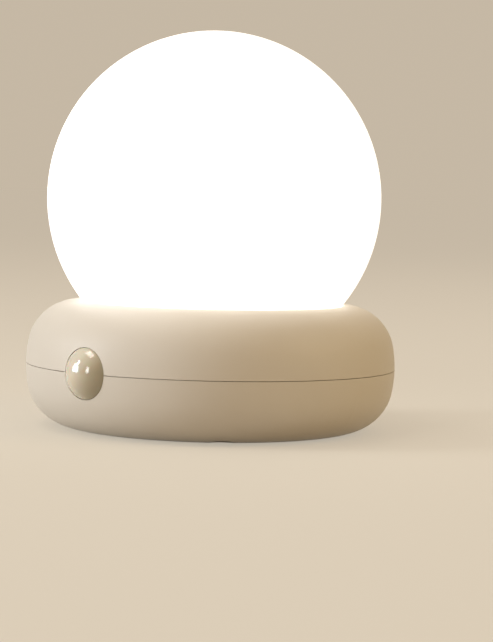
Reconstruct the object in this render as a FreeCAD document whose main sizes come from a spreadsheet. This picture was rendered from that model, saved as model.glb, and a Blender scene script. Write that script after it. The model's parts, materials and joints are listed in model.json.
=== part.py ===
import FreeCAD, Part
import math
import os
import Sketcher
from FreeCAD import Vector

# Driving dimensions in millimetres. Every piece is drawn about the lamp's own
# upright axis, with z = 0 at the seam of the base and +Y towards the wall.
SIZES = {
    # base: a flattened round drum whose side is three tangent arcs
    "base_radius": 45.5,
    "half_height": 15.5,
    "side_arc": 30.0,
    "shoulder_arc": 12.0,
    "crown_arc": 33.0,
    "shell_wall": 2.0,
    "back_flat": 3.5,
    "back_setback": 0.6,
    "seam_gap": 0.15,
    "tongue_rise": 1.5,
    "lip_thickness": 1.0,
    "tongue_play": 0.1,
    # pan that the globe stands in
    "pan_inset": 13.1,
    "crown_lead": 1.2,
    "pan_wall": 2.0,
    "pan_edge_round": 0.4,
    "pan_depth": 6.0,
    "deck_thickness": 2.0,
    "wire_hole_radius": 3.0,
    # globe
    "globe_radius": 41.05,
    "globe_wall": 1.6,
    "neck_play": 0.4,
    "tab_width": 8.0,
    "tab_play": 0.1,
    "tab_hook": 0.8,
    "tab_hook_depth": 1.4,
    "tab_flex": 1.0,
    # light engine
    "led_board_radius": 24.0,
    "led_board_thickness": 1.2,
    "led_ring_radius": 17.5,
    "led_length": 3.5,
    "led_width": 2.8,
    "led_height": 0.7,
    "led_screw_circle": 21.0,
    "led_boss_radius": 2.5,
    "led_boss_depth": 2.5,
    "small_screw_radius": 0.95,
    "small_pilot_play": 0.05,
    "small_head_radius": 1.9,
    "small_head_height": 1.2,
    "small_hole_play": 0.2,
    # screws that close the base
    "screw_inset": 10.5,
    "boss_radius": 4.2,
    "upper_boss_radius": 3.4,
    "upper_boss_drop": 5.5,
    "counterbore_radius": 2.9,
    "head_seat": 4.5,
    "screw_radius": 1.3,
    "screw_play": 0.3,
    "pilot_play": 0.1,
    "screw_tip_gap": 3.0,
    "head_radius": 2.65,
    "head_height": 1.8,
    "rib_thickness": 1.4,
    "rib_height": 7.0,
    # light sensor and its lens
    "lens_radius": 6.05,
    "lens_play": 0.1,
    "lens_set": 0.7,
    "lens_dome": 3.4,
    "lens_wall": 1.0,
    "flange_radius": 8.0,
    "flange_set": 5.6,
    "flange_thickness": 1.2,
    "sensor_block_width": 22.0,
    "sensor_block_height": 20.0,
    "sensor_block_depth": 10.8,
    "sensor_bore_radius": 7.0,
    "sensor_board_width": 16.0,
    "sensor_board_height": 14.0,
    "sensor_board_thickness": 1.0,
    "sensor_board_set": 8.6,
    "sensor_window_margin": 1.6,
    "can_radius": 4.1,
    "can_flange_radius": 4.6,
    "can_flange_thickness": 0.5,
    "can_height": 4.2,
    "window_width": 4.0,
    "window_height": 3.0,
    "window_thickness": 0.4,
    "can_pin_radius": 0.23,
    "can_pin_circle": 2.5,
    "can_pin_length": 2.2,
    "cell_length": 2.0,
    "cell_width": 1.2,
    "cell_height": 0.8,
    "cell_offset": 5.7,
    "sensor_wire_level": 4.0,
    # driver board
    "board_width": 44.0,
    "board_front": 27.0,
    "board_back": 23.0,
    "board_boss_gap": 1.2,
    "board_thickness": 1.6,
    "board_lift": 6.5,
    "standoff_radius": 2.8,
    "standoff_x": 17.0,
    "standoff_y": 12.0,
    "film_length": 13.0,
    "film_width": 5.0,
    "film_headroom": 2.4,
    "film_x": 7.0,
    "film_y": 13.0,
    "smoothing_radius": 4.0,
    "smoothing_headroom": 1.4,
    "smoothing_x": 11.0,
    "smoothing_y": 3.0,
    "rectifier_length": 4.8,
    "rectifier_width": 3.9,
    "rectifier_height": 2.5,
    "rectifier_x": 5.0,
    "rectifier_y": 13.0,
    "fuse_radius": 1.75,
    "fuse_length": 8.0,
    "fuse_lift": 0.4,
    "fuse_lead_radius": 0.3,
    "fuse_lead_reach": 1.8,
    "fuse_inset": 12.0,
    "fuse_y": 2.0,
    "chip_length": 4.9,
    "chip_width": 3.9,
    "chip_height": 1.45,
    "chip_leg_reach": 1.0,
    "chip_leg_width": 0.4,
    "chip_pitch": 1.27,
    "chip_y": 9.0,
    # slide switch under the driver board
    "switch_y": 21.0,
    "travel": 2.0,
    "recess_length": 17.0,
    "recess_width": 8.0,
    "recess_depth": 1.2,
    "switch_pad_length": 22.0,
    "switch_pad_width": 12.0,
    "switch_floor": 3.2,
    "slot_play": 0.3,
    "knob_length": 5.0,
    "knob_width": 3.6,
    "knob_drop": 0.3,
    "knob_groove": 0.5,
    "knob_flange_overlap": 0.7,
    "knob_flange_width": 6.4,
    "knob_flange_thickness": 0.8,
    "knob_flange_play": 0.3,
    "frame_length": 13.0,
    "frame_width": 6.6,
    "frame_sheet": 0.4,
    "frame_play": 0.3,
    "frame_ear": 1.4,
    "base_plate": 1.0,
    "slider_length": 7.0,
    "slider_height": 1.5,
    "slider_play": 0.2,
    "stem_width": 2.0,
    "stem_depth": 1.6,
    "wiper_sheet": 0.2,
    "wiper_width": 1.2,
    "wiper_span": 2.5,
    "wiper_play": 0.15,
    "terminal_pitch": 2.5,
    "terminal_row": 1.5,
    "terminal_radius": 0.35,
    "terminal_pad": 0.2,
    "terminal_rise": 0.8,
    "terminal_play": 0.1,
    # plug
    "plug_width": 26.0,
    "plug_height": 14.0,
    "plug_round": 2.5,
    "plug_depth": 8.5,
    "plug_play": 0.1,
    "plug_flange_width": 30.0,
    "plug_flange_height": 18.0,
    "plug_flange_thickness": 1.6,
    "plug_flange_set": 4.0,
    "plug_block_width": 35.0,
    "plug_block_height": 23.0,
    "plug_block_depth": 7.6,
    "blade_spacing": 12.7,
    "blade_height": 6.3,
    "blade_thickness": 1.5,
    "blade_length": 17.0,
    "blade_tip": 1.6,
    "blade_tail": 2.5,
    "tail_height": 3.6,
    # insulated wires
    "wire_radius": 0.75,
    "thin_wire_radius": 0.5,
}

LED_COUNT = 12
CROSS_ARM = 1.1
CROSS_BLADE = 0.3
CORNER_ANGLES = (45, 135, 225, 315)
TAB_ANGLES = (30, 150, 270)
FULL_TURN = 360
BIG = 200.0


class Size:
    """A length that knows its formula in the sheet and its value in millimetres."""

    def __init__(self, formula, value):
        self.formula = formula
        self.value = value

    @staticmethod
    def of(item):
        return item if isinstance(item, Size) else Size(repr(float(item)), float(item))

    def _with(self, sign, other, value):
        return Size("(%s %s %s)" % (self.formula, sign, other.formula), value)

    def __add__(self, other):
        other = Size.of(other)
        return self._with("+", other, self.value + other.value)

    def __radd__(self, other):
        return Size.of(other) + self

    def __sub__(self, other):
        other = Size.of(other)
        return self._with("-", other, self.value - other.value)

    def __rsub__(self, other):
        return Size.of(other) - self

    def __mul__(self, other):
        other = Size.of(other)
        return self._with("*", other, self.value * other.value)

    def __rmul__(self, other):
        return Size.of(other) * self

    def __truediv__(self, other):
        other = Size.of(other)
        return self._with("/", other, self.value / other.value)

    def __neg__(self):
        return Size.of(0) - self

    def root(self):
        return Size("sqrt(%s)" % self.formula, math.sqrt(self.value))


class Lengths:
    """The sheet's sizes by name, such as lengths.base_radius."""

    def __init__(self, names):
        for name, value in names.items():
            setattr(self, name, Size("Sizes." + name, value))


doc = FreeCAD.newDocument("night_light")


def write_sheet():
    """Spreadsheet of the driving dimensions, one named row for each."""
    sheet = doc.addObject("Spreadsheet::Sheet", "Sizes")
    for row, (name, value) in enumerate(SIZES.items(), 1):
        sheet.set("A%d" % row, name)
        sheet.set("B%d" % row, str(value))
        sheet.setAlias("B%d" % row, name)
    doc.recompute()


write_sheet()
mm = Lengths(SIZES)

# Places that follow from the sizes
mm.axis_to_wall = mm.base_radius - mm.back_flat
mm.pan_radius = mm.base_radius - mm.pan_inset
mm.flat_radius = mm.pan_radius - mm.crown_lead
mm.deck_level = mm.half_height - mm.pan_depth
mm.neck_radius = mm.pan_radius - mm.neck_play
mm.join_radius = mm.pan_radius - mm.neck_play / 2
mm.globe_rise = (mm.globe_radius * mm.globe_radius - mm.join_radius * mm.join_radius).root()
mm.globe_centre = mm.half_height + mm.globe_rise
mm.screw_circle = mm.base_radius - mm.screw_inset
mm.upper_boss_top = mm.half_height - mm.upper_boss_drop
mm.screw_length = mm.upper_boss_top + mm.half_height - mm.head_seat - mm.screw_tip_gap
mm.lens_reach = mm.base_radius - mm.lens_set
mm.flange_face = mm.base_radius - mm.flange_set
mm.sensor_block_inner = mm.base_radius - mm.sensor_block_depth
mm.sensor_board_face = mm.base_radius - mm.sensor_board_set
mm.board_level = mm.half_height - mm.shell_wall - mm.board_lift
mm.board_room = mm.deck_level - mm.deck_thickness + mm.board_level - mm.board_thickness
mm.film_height = mm.board_room - mm.film_headroom
mm.smoothing_height = mm.board_room - mm.smoothing_headroom
mm.fuse_x = mm.board_width / 2 - mm.fuse_inset
mm.switch_pad_level = mm.half_height - mm.switch_floor
mm.plug_inner = mm.axis_to_wall - mm.plug_depth
mm.plug_flange_face = mm.axis_to_wall - mm.plug_flange_set
mm.plug_block_inner = mm.axis_to_wall - mm.plug_block_depth


# Helpers: ties to the sheet, primitives and booleans

def tie(item, **values):
    """Bind properties of a feature to formulas of the sheet."""
    for name, value in values.items():
        item.setExpression(name, Size.of(value).formula)
    return item


def place(item, x=0, y=0, z=0):
    """Bind where a feature stands."""
    for letter, value in zip("xyz", (x, y, z)):
        item.setExpression("Placement.Base." + letter, Size.of(value).formula)
    return item


def block(label, length, width, height, x=0, y=0, z=0):
    """Box centred on x and y, standing on z."""
    item = doc.addObject("Part::Box", label)
    length, width = Size.of(length), Size.of(width)
    tie(item, Length=length, Width=width, Height=height)
    return place(item, x - length / 2, y - width / 2, z)


TURNS = {
    "up": FreeCAD.Rotation(),
    "back": FreeCAD.Rotation(Vector(1, 0, 0), -90),
    "right": FreeCAD.Rotation(Vector(0, 1, 0), 90),
}


def rod(label, radius, length, x=0, y=0, z=0, turn="up"):
    """Cylinder that starts at a point and runs up, back or right."""
    item = doc.addObject("Part::Cylinder", label)
    item.Placement = FreeCAD.Placement(Vector(), TURNS[turn])
    tie(item, Radius=radius, Height=length)
    return place(item, x, y, z)


def cone(label, radius_low, radius_high, length, x=0, y=0, z=0):
    """Upright cone frustum standing on z."""
    item = doc.addObject("Part::Cone", label)
    tie(item, Radius1=radius_low, Radius2=radius_high, Height=length)
    return place(item, x, y, z)


def join(label, *items):
    """Fuse solids into one."""
    if len(items) == 1:
        return items[0]
    item = doc.addObject("Part::MultiFuse", label)
    item.Shapes = list(items)
    return item


def cut(label, base, *tools):
    """Base less every tool."""
    item = doc.addObject("Part::Cut", label)
    item.Base = base
    item.Tool = tools[0] if len(tools) == 1 else group(label + "_tools", *tools)
    return item


def common(label, first, second):
    """What two solids share."""
    item = doc.addObject("Part::MultiCommon", label)
    item.Shapes = [first, second]
    return item


def group(label, *items):
    """Separate solids that make one node."""
    item = doc.addObject("Part::Compound", label)
    item.Links = list(items)
    return item


def on_circle(radius, angle):
    """A point on a circle about the lamp's axis."""
    turn = math.radians(angle)
    return radius * round(math.cos(turn), 9), radius * round(math.sin(turn), 9)


# Helpers: bodies and their sketches

def new_body(label):
    return doc.addObject("PartDesign::Body", label)


def sketch_on(body, label, role, level=None):
    """Sketch on one of the body's own origin planes, lifted by a level."""
    plane = next(item for item in body.Origin.OriginFeatures if item.Role == role)
    sketch = body.newObject("Sketcher::SketchObject", label)
    sketch.AttachmentSupport = [(plane, "")]
    sketch.MapMode = "FlatFace"
    if level is not None:
        sketch.setExpression("AttachmentOffset.Base.z", Size.of(level).formula)
    return sketch


def rule(sketch, kind, *where, size=None):
    """One constraint of a sketch, tied to the sheet when it has a size."""
    if size is None:
        sketch.addConstraint(Sketcher.Constraint(kind, *where))
        return
    size = Size.of(size)
    index = sketch.addConstraint(Sketcher.Constraint(kind, *where, size.value))
    sketch.setExpression("Constraints[%d]" % index, size.formula)


def fix(sketch, edge, end, x, y):
    """Tie one point of a sketch to its two coordinates."""
    rule(sketch, "DistanceX", -1, 1, edge, end, size=x)
    rule(sketch, "DistanceY", -1, 1, edge, end, size=y)


def point(pair):
    return Vector(Size.of(pair[0]).value, Size.of(pair[1]).value, 0)


def polygon(sketch, corners):
    """Closed outline of straight lines through corners."""
    first = sketch.GeometryCount
    count = len(corners)
    for index, corner in enumerate(corners):
        following = corners[(index + 1) % count]
        sketch.addGeometry(Part.LineSegment(point(corner), point(following)))
    for index, corner in enumerate(corners):
        rule(sketch, "Coincident", first + index, 2, first + (index + 1) % count, 1)
        fix(sketch, first + index, 1, *corner)
    return sketch


def circle(sketch, radius, x=0, y=0):
    """Circle tied to its centre and radius."""
    index = sketch.addGeometry(Part.Circle(point((x, y)), Vector(0, 0, 1), Size.of(radius).value))
    rule(sketch, "Radius", index, size=radius)
    fix(sketch, index, 3, x, y)
    return sketch


def slot(sketch, length, width, x=0, y=0):
    """Stadium along the sketch's first axis: two lines and two half circles."""
    length, width, x, y = Size.of(length), Size.of(width), Size.of(x), Size.of(y)
    radius = width / 2
    reach = length / 2 - radius
    up = Vector(0, 0, 1)
    right = Part.Circle(point((x + reach, y)), up, radius.value)
    left = Part.Circle(point((x - reach, y)), up, radius.value)
    a = sketch.addGeometry(Part.ArcOfCircle(right, -math.pi / 2, math.pi / 2))
    b = sketch.addGeometry(Part.LineSegment(point((x + reach, y + radius)), point((x - reach, y + radius))))
    c = sketch.addGeometry(Part.ArcOfCircle(left, math.pi / 2, 3 * math.pi / 2))
    d = sketch.addGeometry(Part.LineSegment(point((x - reach, y - radius)), point((x + reach, y - radius))))
    rule(sketch, "Tangent", a, 2, b, 1)
    rule(sketch, "Tangent", b, 2, c, 1)
    rule(sketch, "Tangent", c, 2, d, 1)
    rule(sketch, "Tangent", d, 2, a, 1)
    rule(sketch, "Radius", a, size=radius)
    fix(sketch, a, 3, x + reach, y)
    fix(sketch, c, 3, x - reach, y)
    return sketch


def rectangle(sketch, length, width, x=0, y=0):
    """Rectangle about a centre."""
    length, width = Size.of(length) / 2, Size.of(width) / 2
    corners = [(x - length, y - width), (x + length, y - width),
               (x + length, y + width), (x - length, y + width)]
    return polygon(sketch, corners)


def pad(body, label, sketch, length, midplane=False, reverse=False):
    """Extrude a sketch into a solid."""
    item = body.newObject("PartDesign::Pad", label)
    item.Profile = sketch
    tie(item, Length=length)
    item.Midplane = midplane
    item.Reversed = reverse
    return item


def pocket(body, label, sketch, length=None, reverse=False, midplane=False):
    """Cut a sketch away, through all when no length is given."""
    item = body.newObject("PartDesign::Pocket", label)
    item.Profile = sketch
    item.Reversed = reverse
    item.Midplane = midplane
    if length is None:
        item.Type = "ThroughAll"
    else:
        tie(item, Length=length)
    return item


def revolve(body, label, sketch, axis="V_Axis"):
    """Full turn of a sketch about one of its axes."""
    item = body.newObject("PartDesign::Revolution", label)
    item.Profile = sketch
    item.ReferenceAxis = (sketch, [axis])
    item.Angle = FULL_TURN
    return item


def round_edges(body, label, feature, radius, wanted):
    """Fillet the edges of a feature that a test picks out."""
    doc.recompute()
    edges = feature.Shape.Edges
    names = ["Edge%d" % number for number, edge in enumerate(edges, 1) if wanted(edge)]
    item = body.newObject("PartDesign::Fillet", label)
    item.Base = (feature, names)
    tie(item, Radius=radius)
    return item


def revolved_solid(label, corners, role="XZ_Plane", axis="V_Axis"):
    """Body turned from a closed outline of straight lines."""
    body = new_body(label)
    sketch = polygon(sketch_on(body, label + "_outline", role), corners)
    revolve(body, label + "_turn", sketch, axis)
    return body


# Base shells

def shoulder_centre():
    """Start values for the shoulder arc, which is tangent to side and crown."""
    side = (mm.base_radius.value - mm.side_arc.value, 0.0)
    crown = (mm.flat_radius.value, mm.half_height.value - mm.crown_arc.value)
    to_side = mm.side_arc.value - mm.shoulder_arc.value
    to_crown = mm.crown_arc.value - mm.shoulder_arc.value
    gap = math.dist(side, crown)
    along = (to_side ** 2 - to_crown ** 2 + gap ** 2) / (2 * gap)
    aside = math.sqrt(to_side ** 2 - along ** 2)
    step_x, step_y = (crown[0] - side[0]) / gap, (crown[1] - side[1]) / gap
    centre = (side[0] + step_x * along - step_y * aside, side[1] + step_y * along + step_x * aside)
    mirrored = (side[0] + step_x * along + step_y * aside, side[1] + step_y * along - step_x * aside)
    return side, max(centre, mirrored, key=sum), crown


def drum_outline(sketch, up, inset, edge_x, edge_z, tail):
    """Side, shoulder and crown arcs from the seam inwards, then straight lines.

    up is 1 for the upper half and -1 for the lower, inset is how far the arcs
    lie inside the outer surface, edge_z is the level where the side arc starts,
    edge_x is the radius where the crown arc ends, and tail holds the corners
    that follow, the last of them on the axis at edge_z.
    """
    side, shoulder, crown = shoulder_centre()
    inset = Size.of(inset)
    radii = (mm.side_arc - inset, mm.shoulder_arc - inset, mm.crown_arc - inset)
    low = math.asin(edge_z.value / radii[0].value)
    turn_1 = math.atan2(shoulder[1] - side[1], shoulder[0] - side[0])
    turn_2 = math.atan2(shoulder[1] - crown[1], shoulder[0] - crown[0])
    turn_3 = math.acos((edge_x.value - crown[0]) / radii[2].value)
    spans = ((side, low, turn_1), (shoulder, turn_1, turn_2), (crown, turn_2, turn_3))
    arcs = []
    for (centre, start, end), radius in zip(spans, radii):
        centre = Vector(centre[0], up * centre[1], 0)
        full = Part.Circle(centre, Vector(0, 0, 1), radius.value)
        first, last = (start, end) if up > 0 else (-end, -start)
        arcs.append(sketch.addGeometry(Part.ArcOfCircle(full, first, last)))
    begin, finish = (1, 2) if up > 0 else (2, 1)
    last_angle = up * turn_3
    corner = Vector(crown[0] + radii[2].value * math.cos(last_angle),
                    up * crown[1] + radii[2].value * math.sin(last_angle), 0)
    stops = [point((x, z * up)) for x, z in tail]
    start_x = side[0] + radii[0].value * math.cos(low)
    stops = [corner] + stops + [Vector(start_x, up * edge_z.value, 0)]
    lines = [sketch.addGeometry(Part.LineSegment(a, b)) for a, b in zip(stops, stops[1:])]
    rule(sketch, "Tangent", arcs[0], finish, arcs[1], begin)
    rule(sketch, "Tangent", arcs[1], finish, arcs[2], begin)
    rule(sketch, "Coincident", arcs[2], finish, lines[0], 1)
    for a, b in zip(lines, lines[1:]):
        rule(sketch, "Coincident", a, 2, b, 1)
    rule(sketch, "Coincident", lines[-1], 2, arcs[0], begin)
    for arc, radius in zip(arcs, radii):
        rule(sketch, "Radius", arc, size=radius)
    fix(sketch, arcs[0], 3, mm.base_radius - mm.side_arc, 0)
    fix(sketch, arcs[2], 3, mm.flat_radius, (mm.half_height - mm.crown_arc) * up)
    rule(sketch, "DistanceY", -1, 1, arcs[0], begin, size=edge_z * up)
    rule(sketch, "DistanceX", -1, 1, arcs[2], finish, size=edge_x)
    for line, (x, z) in zip(lines, tail):
        fix(sketch, line, 2, x, z * up)
    return sketch


def back_cut(body, label, back):
    """Cut away all that lies behind a flat back."""
    sketch = sketch_on(body, label + "_outline", "XY_Plane")
    polygon(sketch, [(-BIG, back), (BIG, back), (BIG, BIG), (-BIG, BIG)])
    return pocket(body, label, sketch, midplane=True)


def flat_back():
    """Distance from the lamp's axis to the shells' flat back."""
    return mm.axis_to_wall - mm.back_setback


def drum_half(label, up, inset, edge_x, edge_z, tail, back):
    """One half of the drum, solid, with its flat back."""
    body = new_body(label)
    sketch = sketch_on(body, label + "_outline", "XZ_Plane")
    drum_outline(sketch, up, inset, edge_x, edge_z, tail)
    revolve(body, label + "_turn", sketch)
    back_cut(body, label + "_back", back)
    return body


def d_prism(label, inset, low, high):
    """Prism of the drum's plan, drawn in by an inset, between two levels."""
    height = high - low
    drum = rod(label + "_drum", mm.base_radius - inset, height, z=low)
    depth = flat_back() - inset + BIG / 2
    plan = block(label + "_plan", BIG, depth, height, y=depth / 2 - BIG / 2, z=low)
    return common(label, drum, plan)


def corner_posts(label, radius, low, high):
    """Four posts on the circle of the closing screws."""
    posts = []
    for angle in CORNER_ANGLES:
        x, y = on_circle(mm.screw_circle, angle)
        posts.append(rod("%s_%d" % (label, angle), radius, high - low, x, y, low))
    return posts


def corner_ribs(label, low, high):
    """Ribs that run from each screw boss out to the wall."""
    ribs = []
    inner = mm.screw_circle + mm.boss_radius / 2
    length = mm.base_radius - inner
    for angle in CORNER_ANGLES:
        rib = doc.addObject("Part::Box", "%s_%d" % (label, angle))
        tie(rib, Length=length, Width=mm.rib_thickness, Height=high - low)
        rib.Placement = FreeCAD.Placement(Vector(), FreeCAD.Rotation(Vector(0, 0, 1), angle))
        turn = math.radians(angle)
        across = mm.rib_thickness / 2
        x = inner * math.cos(turn) + across * math.sin(turn)
        y = inner * math.sin(turn) - across * math.cos(turn)
        ribs.append(place(rib, x, y, low))
    return ribs


def sensor_block(label, low, height):
    """Moulded block behind the lens opening that the lens and its board sit in."""
    reach = mm.base_radius
    depth = reach - mm.sensor_block_inner
    return block(label, mm.sensor_block_width, depth, height, y=-(reach + mm.sensor_block_inner) / 2, z=low)


def plug_seat(label, low, height):
    """Moulded block inside the flat back that the plug's flange sits in."""
    depth = flat_back() - mm.plug_block_inner
    return block(label, mm.plug_block_width, depth, height, y=(flat_back() + mm.plug_block_inner) / 2, z=low)


def sensor_hollows(label):
    """Openings for the lens, its flange, the sensor and the sensor's board."""
    play = mm.lens_play
    lens_hole = rod(label + "_lens", mm.lens_radius + play, mm.base_radius - mm.sensor_block_inner,
                    y=-mm.base_radius - 1, turn="back")
    flange_hole = rod(label + "_flange", mm.flange_radius + play, mm.flange_thickness + play * 2,
                      y=-mm.flange_face - play, turn="back")
    flange_back = mm.flange_face - mm.flange_thickness - play
    board_gap = mm.sensor_board_face + play
    bore = rod(label + "_bore", mm.sensor_bore_radius, flange_back - board_gap, y=-flange_back, turn="back")
    slot_depth = mm.sensor_board_thickness + play * 2
    board_slot = block(label + "_slot", mm.sensor_board_width + play * 2, slot_depth,
                       mm.sensor_board_height + play * 2, y=slot_depth / 2 - board_gap,
                       z=-(mm.sensor_board_height / 2 + play))
    exit_start = board_gap - slot_depth
    exit_depth = exit_start - mm.sensor_block_inner + 1
    margin = mm.sensor_window_margin * 2
    way_out = block(label + "_exit", mm.sensor_board_width - margin, exit_depth,
                    mm.sensor_board_height - margin, y=exit_depth / 2 - exit_start,
                    z=(margin - mm.sensor_board_height) / 2)
    return [lens_hole, flange_hole, bore, board_slot, way_out]


def plug_hollows(label):
    """Opening for the plug block and the groove for its flange."""
    play = mm.plug_play
    start = mm.plug_block_inner - 1
    depth = mm.axis_to_wall - start
    width, height = mm.plug_width + play * 2, mm.plug_height + play * 2
    mouth = block(label + "_mouth", width, depth, height, y=start + depth / 2, z=-height / 2)
    groove = block(label + "_groove", mm.plug_flange_width + play * 2, mm.plug_flange_thickness + play * 2,
                   mm.plug_flange_height + play * 2, y=mm.plug_flange_face - mm.plug_flange_thickness / 2,
                   z=-(mm.plug_flange_height / 2 + play))
    return [mouth, groove]


def make_upper_shell():
    """Upper half of the base: crown, shoulder, pan for the globe and deck."""
    seam = mm.seam_gap / 2
    outer = new_body("upper_outer")
    sketch = sketch_on(outer, "upper_outline", "XZ_Plane")
    pan = (mm.pan_radius, mm.deck_level)
    drum_outline(sketch, 1, 0, mm.pan_radius, seam, [pan, (0, mm.deck_level), (0, seam)])
    revolve(outer, "upper_turn", sketch)
    flat = back_cut(outer, "upper_back", flat_back())

    def pan_edge(edge):
        radius = getattr(edge.Curve, "Radius", 0)
        high = edge.CenterOfMass.z > mm.deck_level.value + 1
        return abs(radius - mm.pan_radius.value) < 1e-4 and high

    round_edges(outer, "pan_edge", flat, mm.pan_edge_round, pan_edge)

    pan_outside = mm.pan_radius + mm.pan_wall
    underside = mm.deck_level - mm.deck_thickness
    inner_back = flat_back() - mm.shell_wall
    hollow = drum_half("upper_hollow", 1, mm.shell_wall, mm.flat_radius, seam,
                       [(0, mm.half_height - mm.shell_wall), (0, seam)], inner_back)
    pan_core = rod("pan_core", pan_outside, mm.half_height, z=underside)
    high = mm.tongue_rise
    bosses = corner_posts("upper_boss", mm.upper_boss_radius, high, mm.upper_boss_top)
    ribs = corner_ribs("upper_rib", high + mm.lip_thickness, mm.half_height)
    light_bosses = []
    for angle in TAB_ANGLES:
        x, y = on_circle(mm.led_screw_circle, angle)
        low = underside - mm.led_boss_depth
        light_bosses.append(rod("led_boss_%d" % angle, mm.led_boss_radius, mm.led_boss_depth, x, y, low))
    keeps = [sensor_block("upper_sensor_block", 0, mm.sensor_block_height / 2),
             plug_seat("upper_plug_seat", 0, mm.plug_block_height / 2)]
    hollow = cut("upper_space", hollow, pan_core, *bosses, *ribs, *light_bosses, *keeps)

    rebate = d_prism("tongue_rebate", mm.lip_thickness, -1, mm.tongue_rise)
    pilot_top = mm.upper_boss_top - 1
    pilots = corner_posts("pilot", mm.screw_radius + mm.pilot_play, 0, pilot_top)
    small_pilots = []
    for angle in TAB_ANGLES:
        x, y = on_circle(mm.led_screw_circle, angle)
        low = underside - mm.led_boss_depth / 2
        radius = mm.small_screw_radius + mm.small_pilot_play
        small_pilots.append(rod("led_pilot_%d" % angle, radius, mm.deck_level + 1 - low, x, y, low))
    wire_hole = rod("wire_hole", mm.wire_hole_radius, mm.deck_thickness + 2, z=underside - 1)
    slots = tab_slots(underside)
    return cut("upper_shell", outer, hollow, rebate, *pilots, *small_pilots, wire_hole, *slots,
               *sensor_hollows("upper_sensor"), *plug_hollows("upper_plug"))


def tab_slots(underside):
    """Slots in the deck that the globe's snap tabs pass through."""
    outer = mm.neck_radius
    inner = outer - mm.globe_wall - mm.tab_flex
    low = underside - 1
    high = mm.deck_level + 1
    ring = revolved_solid("tab_slot_ring", [(inner, low), (outer, low), (outer, high), (inner, high)])
    return [common("tab_slots", ring, tab_bars("slot_bar", mm.tab_width + mm.tab_play * 4, low, high))]


def tab_bars(label, width, low, high):
    """Three radial bars that pick the tabs out of a ring."""
    bars = []
    for angle in TAB_ANGLES:
        bar = doc.addObject("Part::Box", "%s_%d" % (label, angle))
        tie(bar, Length=mm.base_radius, Width=width, Height=high - low)
        bar.Placement = FreeCAD.Placement(Vector(), FreeCAD.Rotation(Vector(0, 0, 1), angle))
        turn = math.radians(angle)
        bars.append(place(bar, width / 2 * math.sin(turn), -(width / 2 * math.cos(turn)), low))
    return join(label, *bars)


def make_lower_shell():
    """Lower half of the base: floor, bosses, standoffs and the switch's recess."""
    seam = mm.seam_gap / 2
    outer = drum_half("lower_outer", -1, 0, mm.flat_radius, seam,
                      [(0, mm.half_height), (0, seam)], flat_back())
    floor = mm.half_height - mm.shell_wall
    inner_back = flat_back() - mm.shell_wall
    hollow = drum_half("lower_hollow", -1, mm.shell_wall, mm.flat_radius, seam,
                       [(0, floor), (0, seam)], inner_back)
    bottom = -mm.half_height
    bosses = corner_posts("lower_boss", mm.boss_radius, bottom, Size.of(0))
    ribs = corner_ribs("lower_rib", bottom, bottom + mm.rib_height)
    standoffs = board_posts("standoff", mm.standoff_radius, bottom, -mm.board_level)
    height = mm.half_height - mm.switch_pad_level
    switch_pad = block("switch_pad", mm.switch_pad_length, mm.switch_pad_width, height,
                       y=-mm.switch_y, z=bottom)
    keeps = [sensor_block("lower_sensor_block", -mm.sensor_block_height / 2, mm.sensor_block_height / 2),
             plug_seat("lower_plug_seat", -mm.plug_block_height / 2, mm.plug_block_height / 2)]
    hollow = cut("lower_space", hollow, *bosses, *ribs, *standoffs, switch_pad, *keeps)
    walls = cut("lower_walls", outer, hollow)

    inset = mm.lip_thickness + mm.tongue_play
    low = -mm.tongue_rise * 2
    tongue = cut("tongue", d_prism("tongue_outside", inset, low, mm.tongue_rise),
                 d_prism("tongue_inside", mm.shell_wall, low, mm.tongue_rise))
    raised = corner_posts("raised_boss", mm.boss_radius, -mm.tongue_rise, mm.tongue_rise)
    seat = bottom + mm.head_seat
    counterbores = corner_posts("counterbore", mm.counterbore_radius, bottom - 1, seat)
    holes = corner_posts("screw_hole", mm.screw_radius + mm.screw_play, seat - 1, mm.tongue_rise + 1)
    pilot = mm.small_screw_radius + mm.small_pilot_play
    board_pilots = board_posts("board_pilot", pilot, -floor + 1, -mm.board_level + 1)
    recess = new_body("switch_recess")
    outline = sketch_on(recess, "recess_outline", "XY_Plane", bottom - 1)
    slot(outline, mm.recess_length, mm.recess_width, 0, -mm.switch_y)
    pad(recess, "recess_depth", outline, mm.recess_depth + 1)
    opening = block("switch_slot", mm.knob_length + mm.travel * 2 + mm.slot_play * 2,
                    mm.knob_width + mm.slot_play * 2, mm.half_height, y=-mm.switch_y, z=bottom - 1)
    body = join("lower_body", walls, tongue, *raised)
    return cut("lower_shell", body, *counterbores, *holes, *board_pilots, recess, opening,
               *sensor_hollows("lower_sensor"), *plug_hollows("lower_plug"))


def board_posts(label, radius, low, high):
    """Four posts at the driver board's screw points."""
    posts = []
    for name, side, end in (("a", 1, 1), ("b", -1, 1), ("c", 1, -1), ("d", -1, -1)):
        x, y = mm.standoff_x * side, mm.standoff_y * end
        posts.append(rod("%s_%s" % (label, name), radius, high - low, x, y, low))
    return posts


def make_shell_screws():
    """Four pan-head screws that close the base from below."""
    seat = mm.head_seat - mm.half_height
    screws = []
    for angle in CORNER_ANGLES:
        x, y = on_circle(mm.screw_circle, angle)
        shank = rod("shank_%d" % angle, mm.screw_radius, mm.screw_length - mm.screw_radius, x, y, seat)
        tip = cone("tip_%d" % angle, mm.screw_radius, mm.screw_radius / 4, mm.screw_radius,
                   x, y, seat + mm.screw_length - mm.screw_radius)
        head = rod("head_%d" % angle, mm.head_radius, mm.head_height, x, y, seat - mm.head_height)
        cross = cross_recess("cross_%d" % angle, mm.head_radius, x, y, seat - mm.head_height - 1,
                             mm.head_height / 2 + 1)
        screws.append(cut("screw_%d" % angle, join("blank_%d" % angle, head, shank, tip), *cross))
    return group("shell_screws", *screws)


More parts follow.
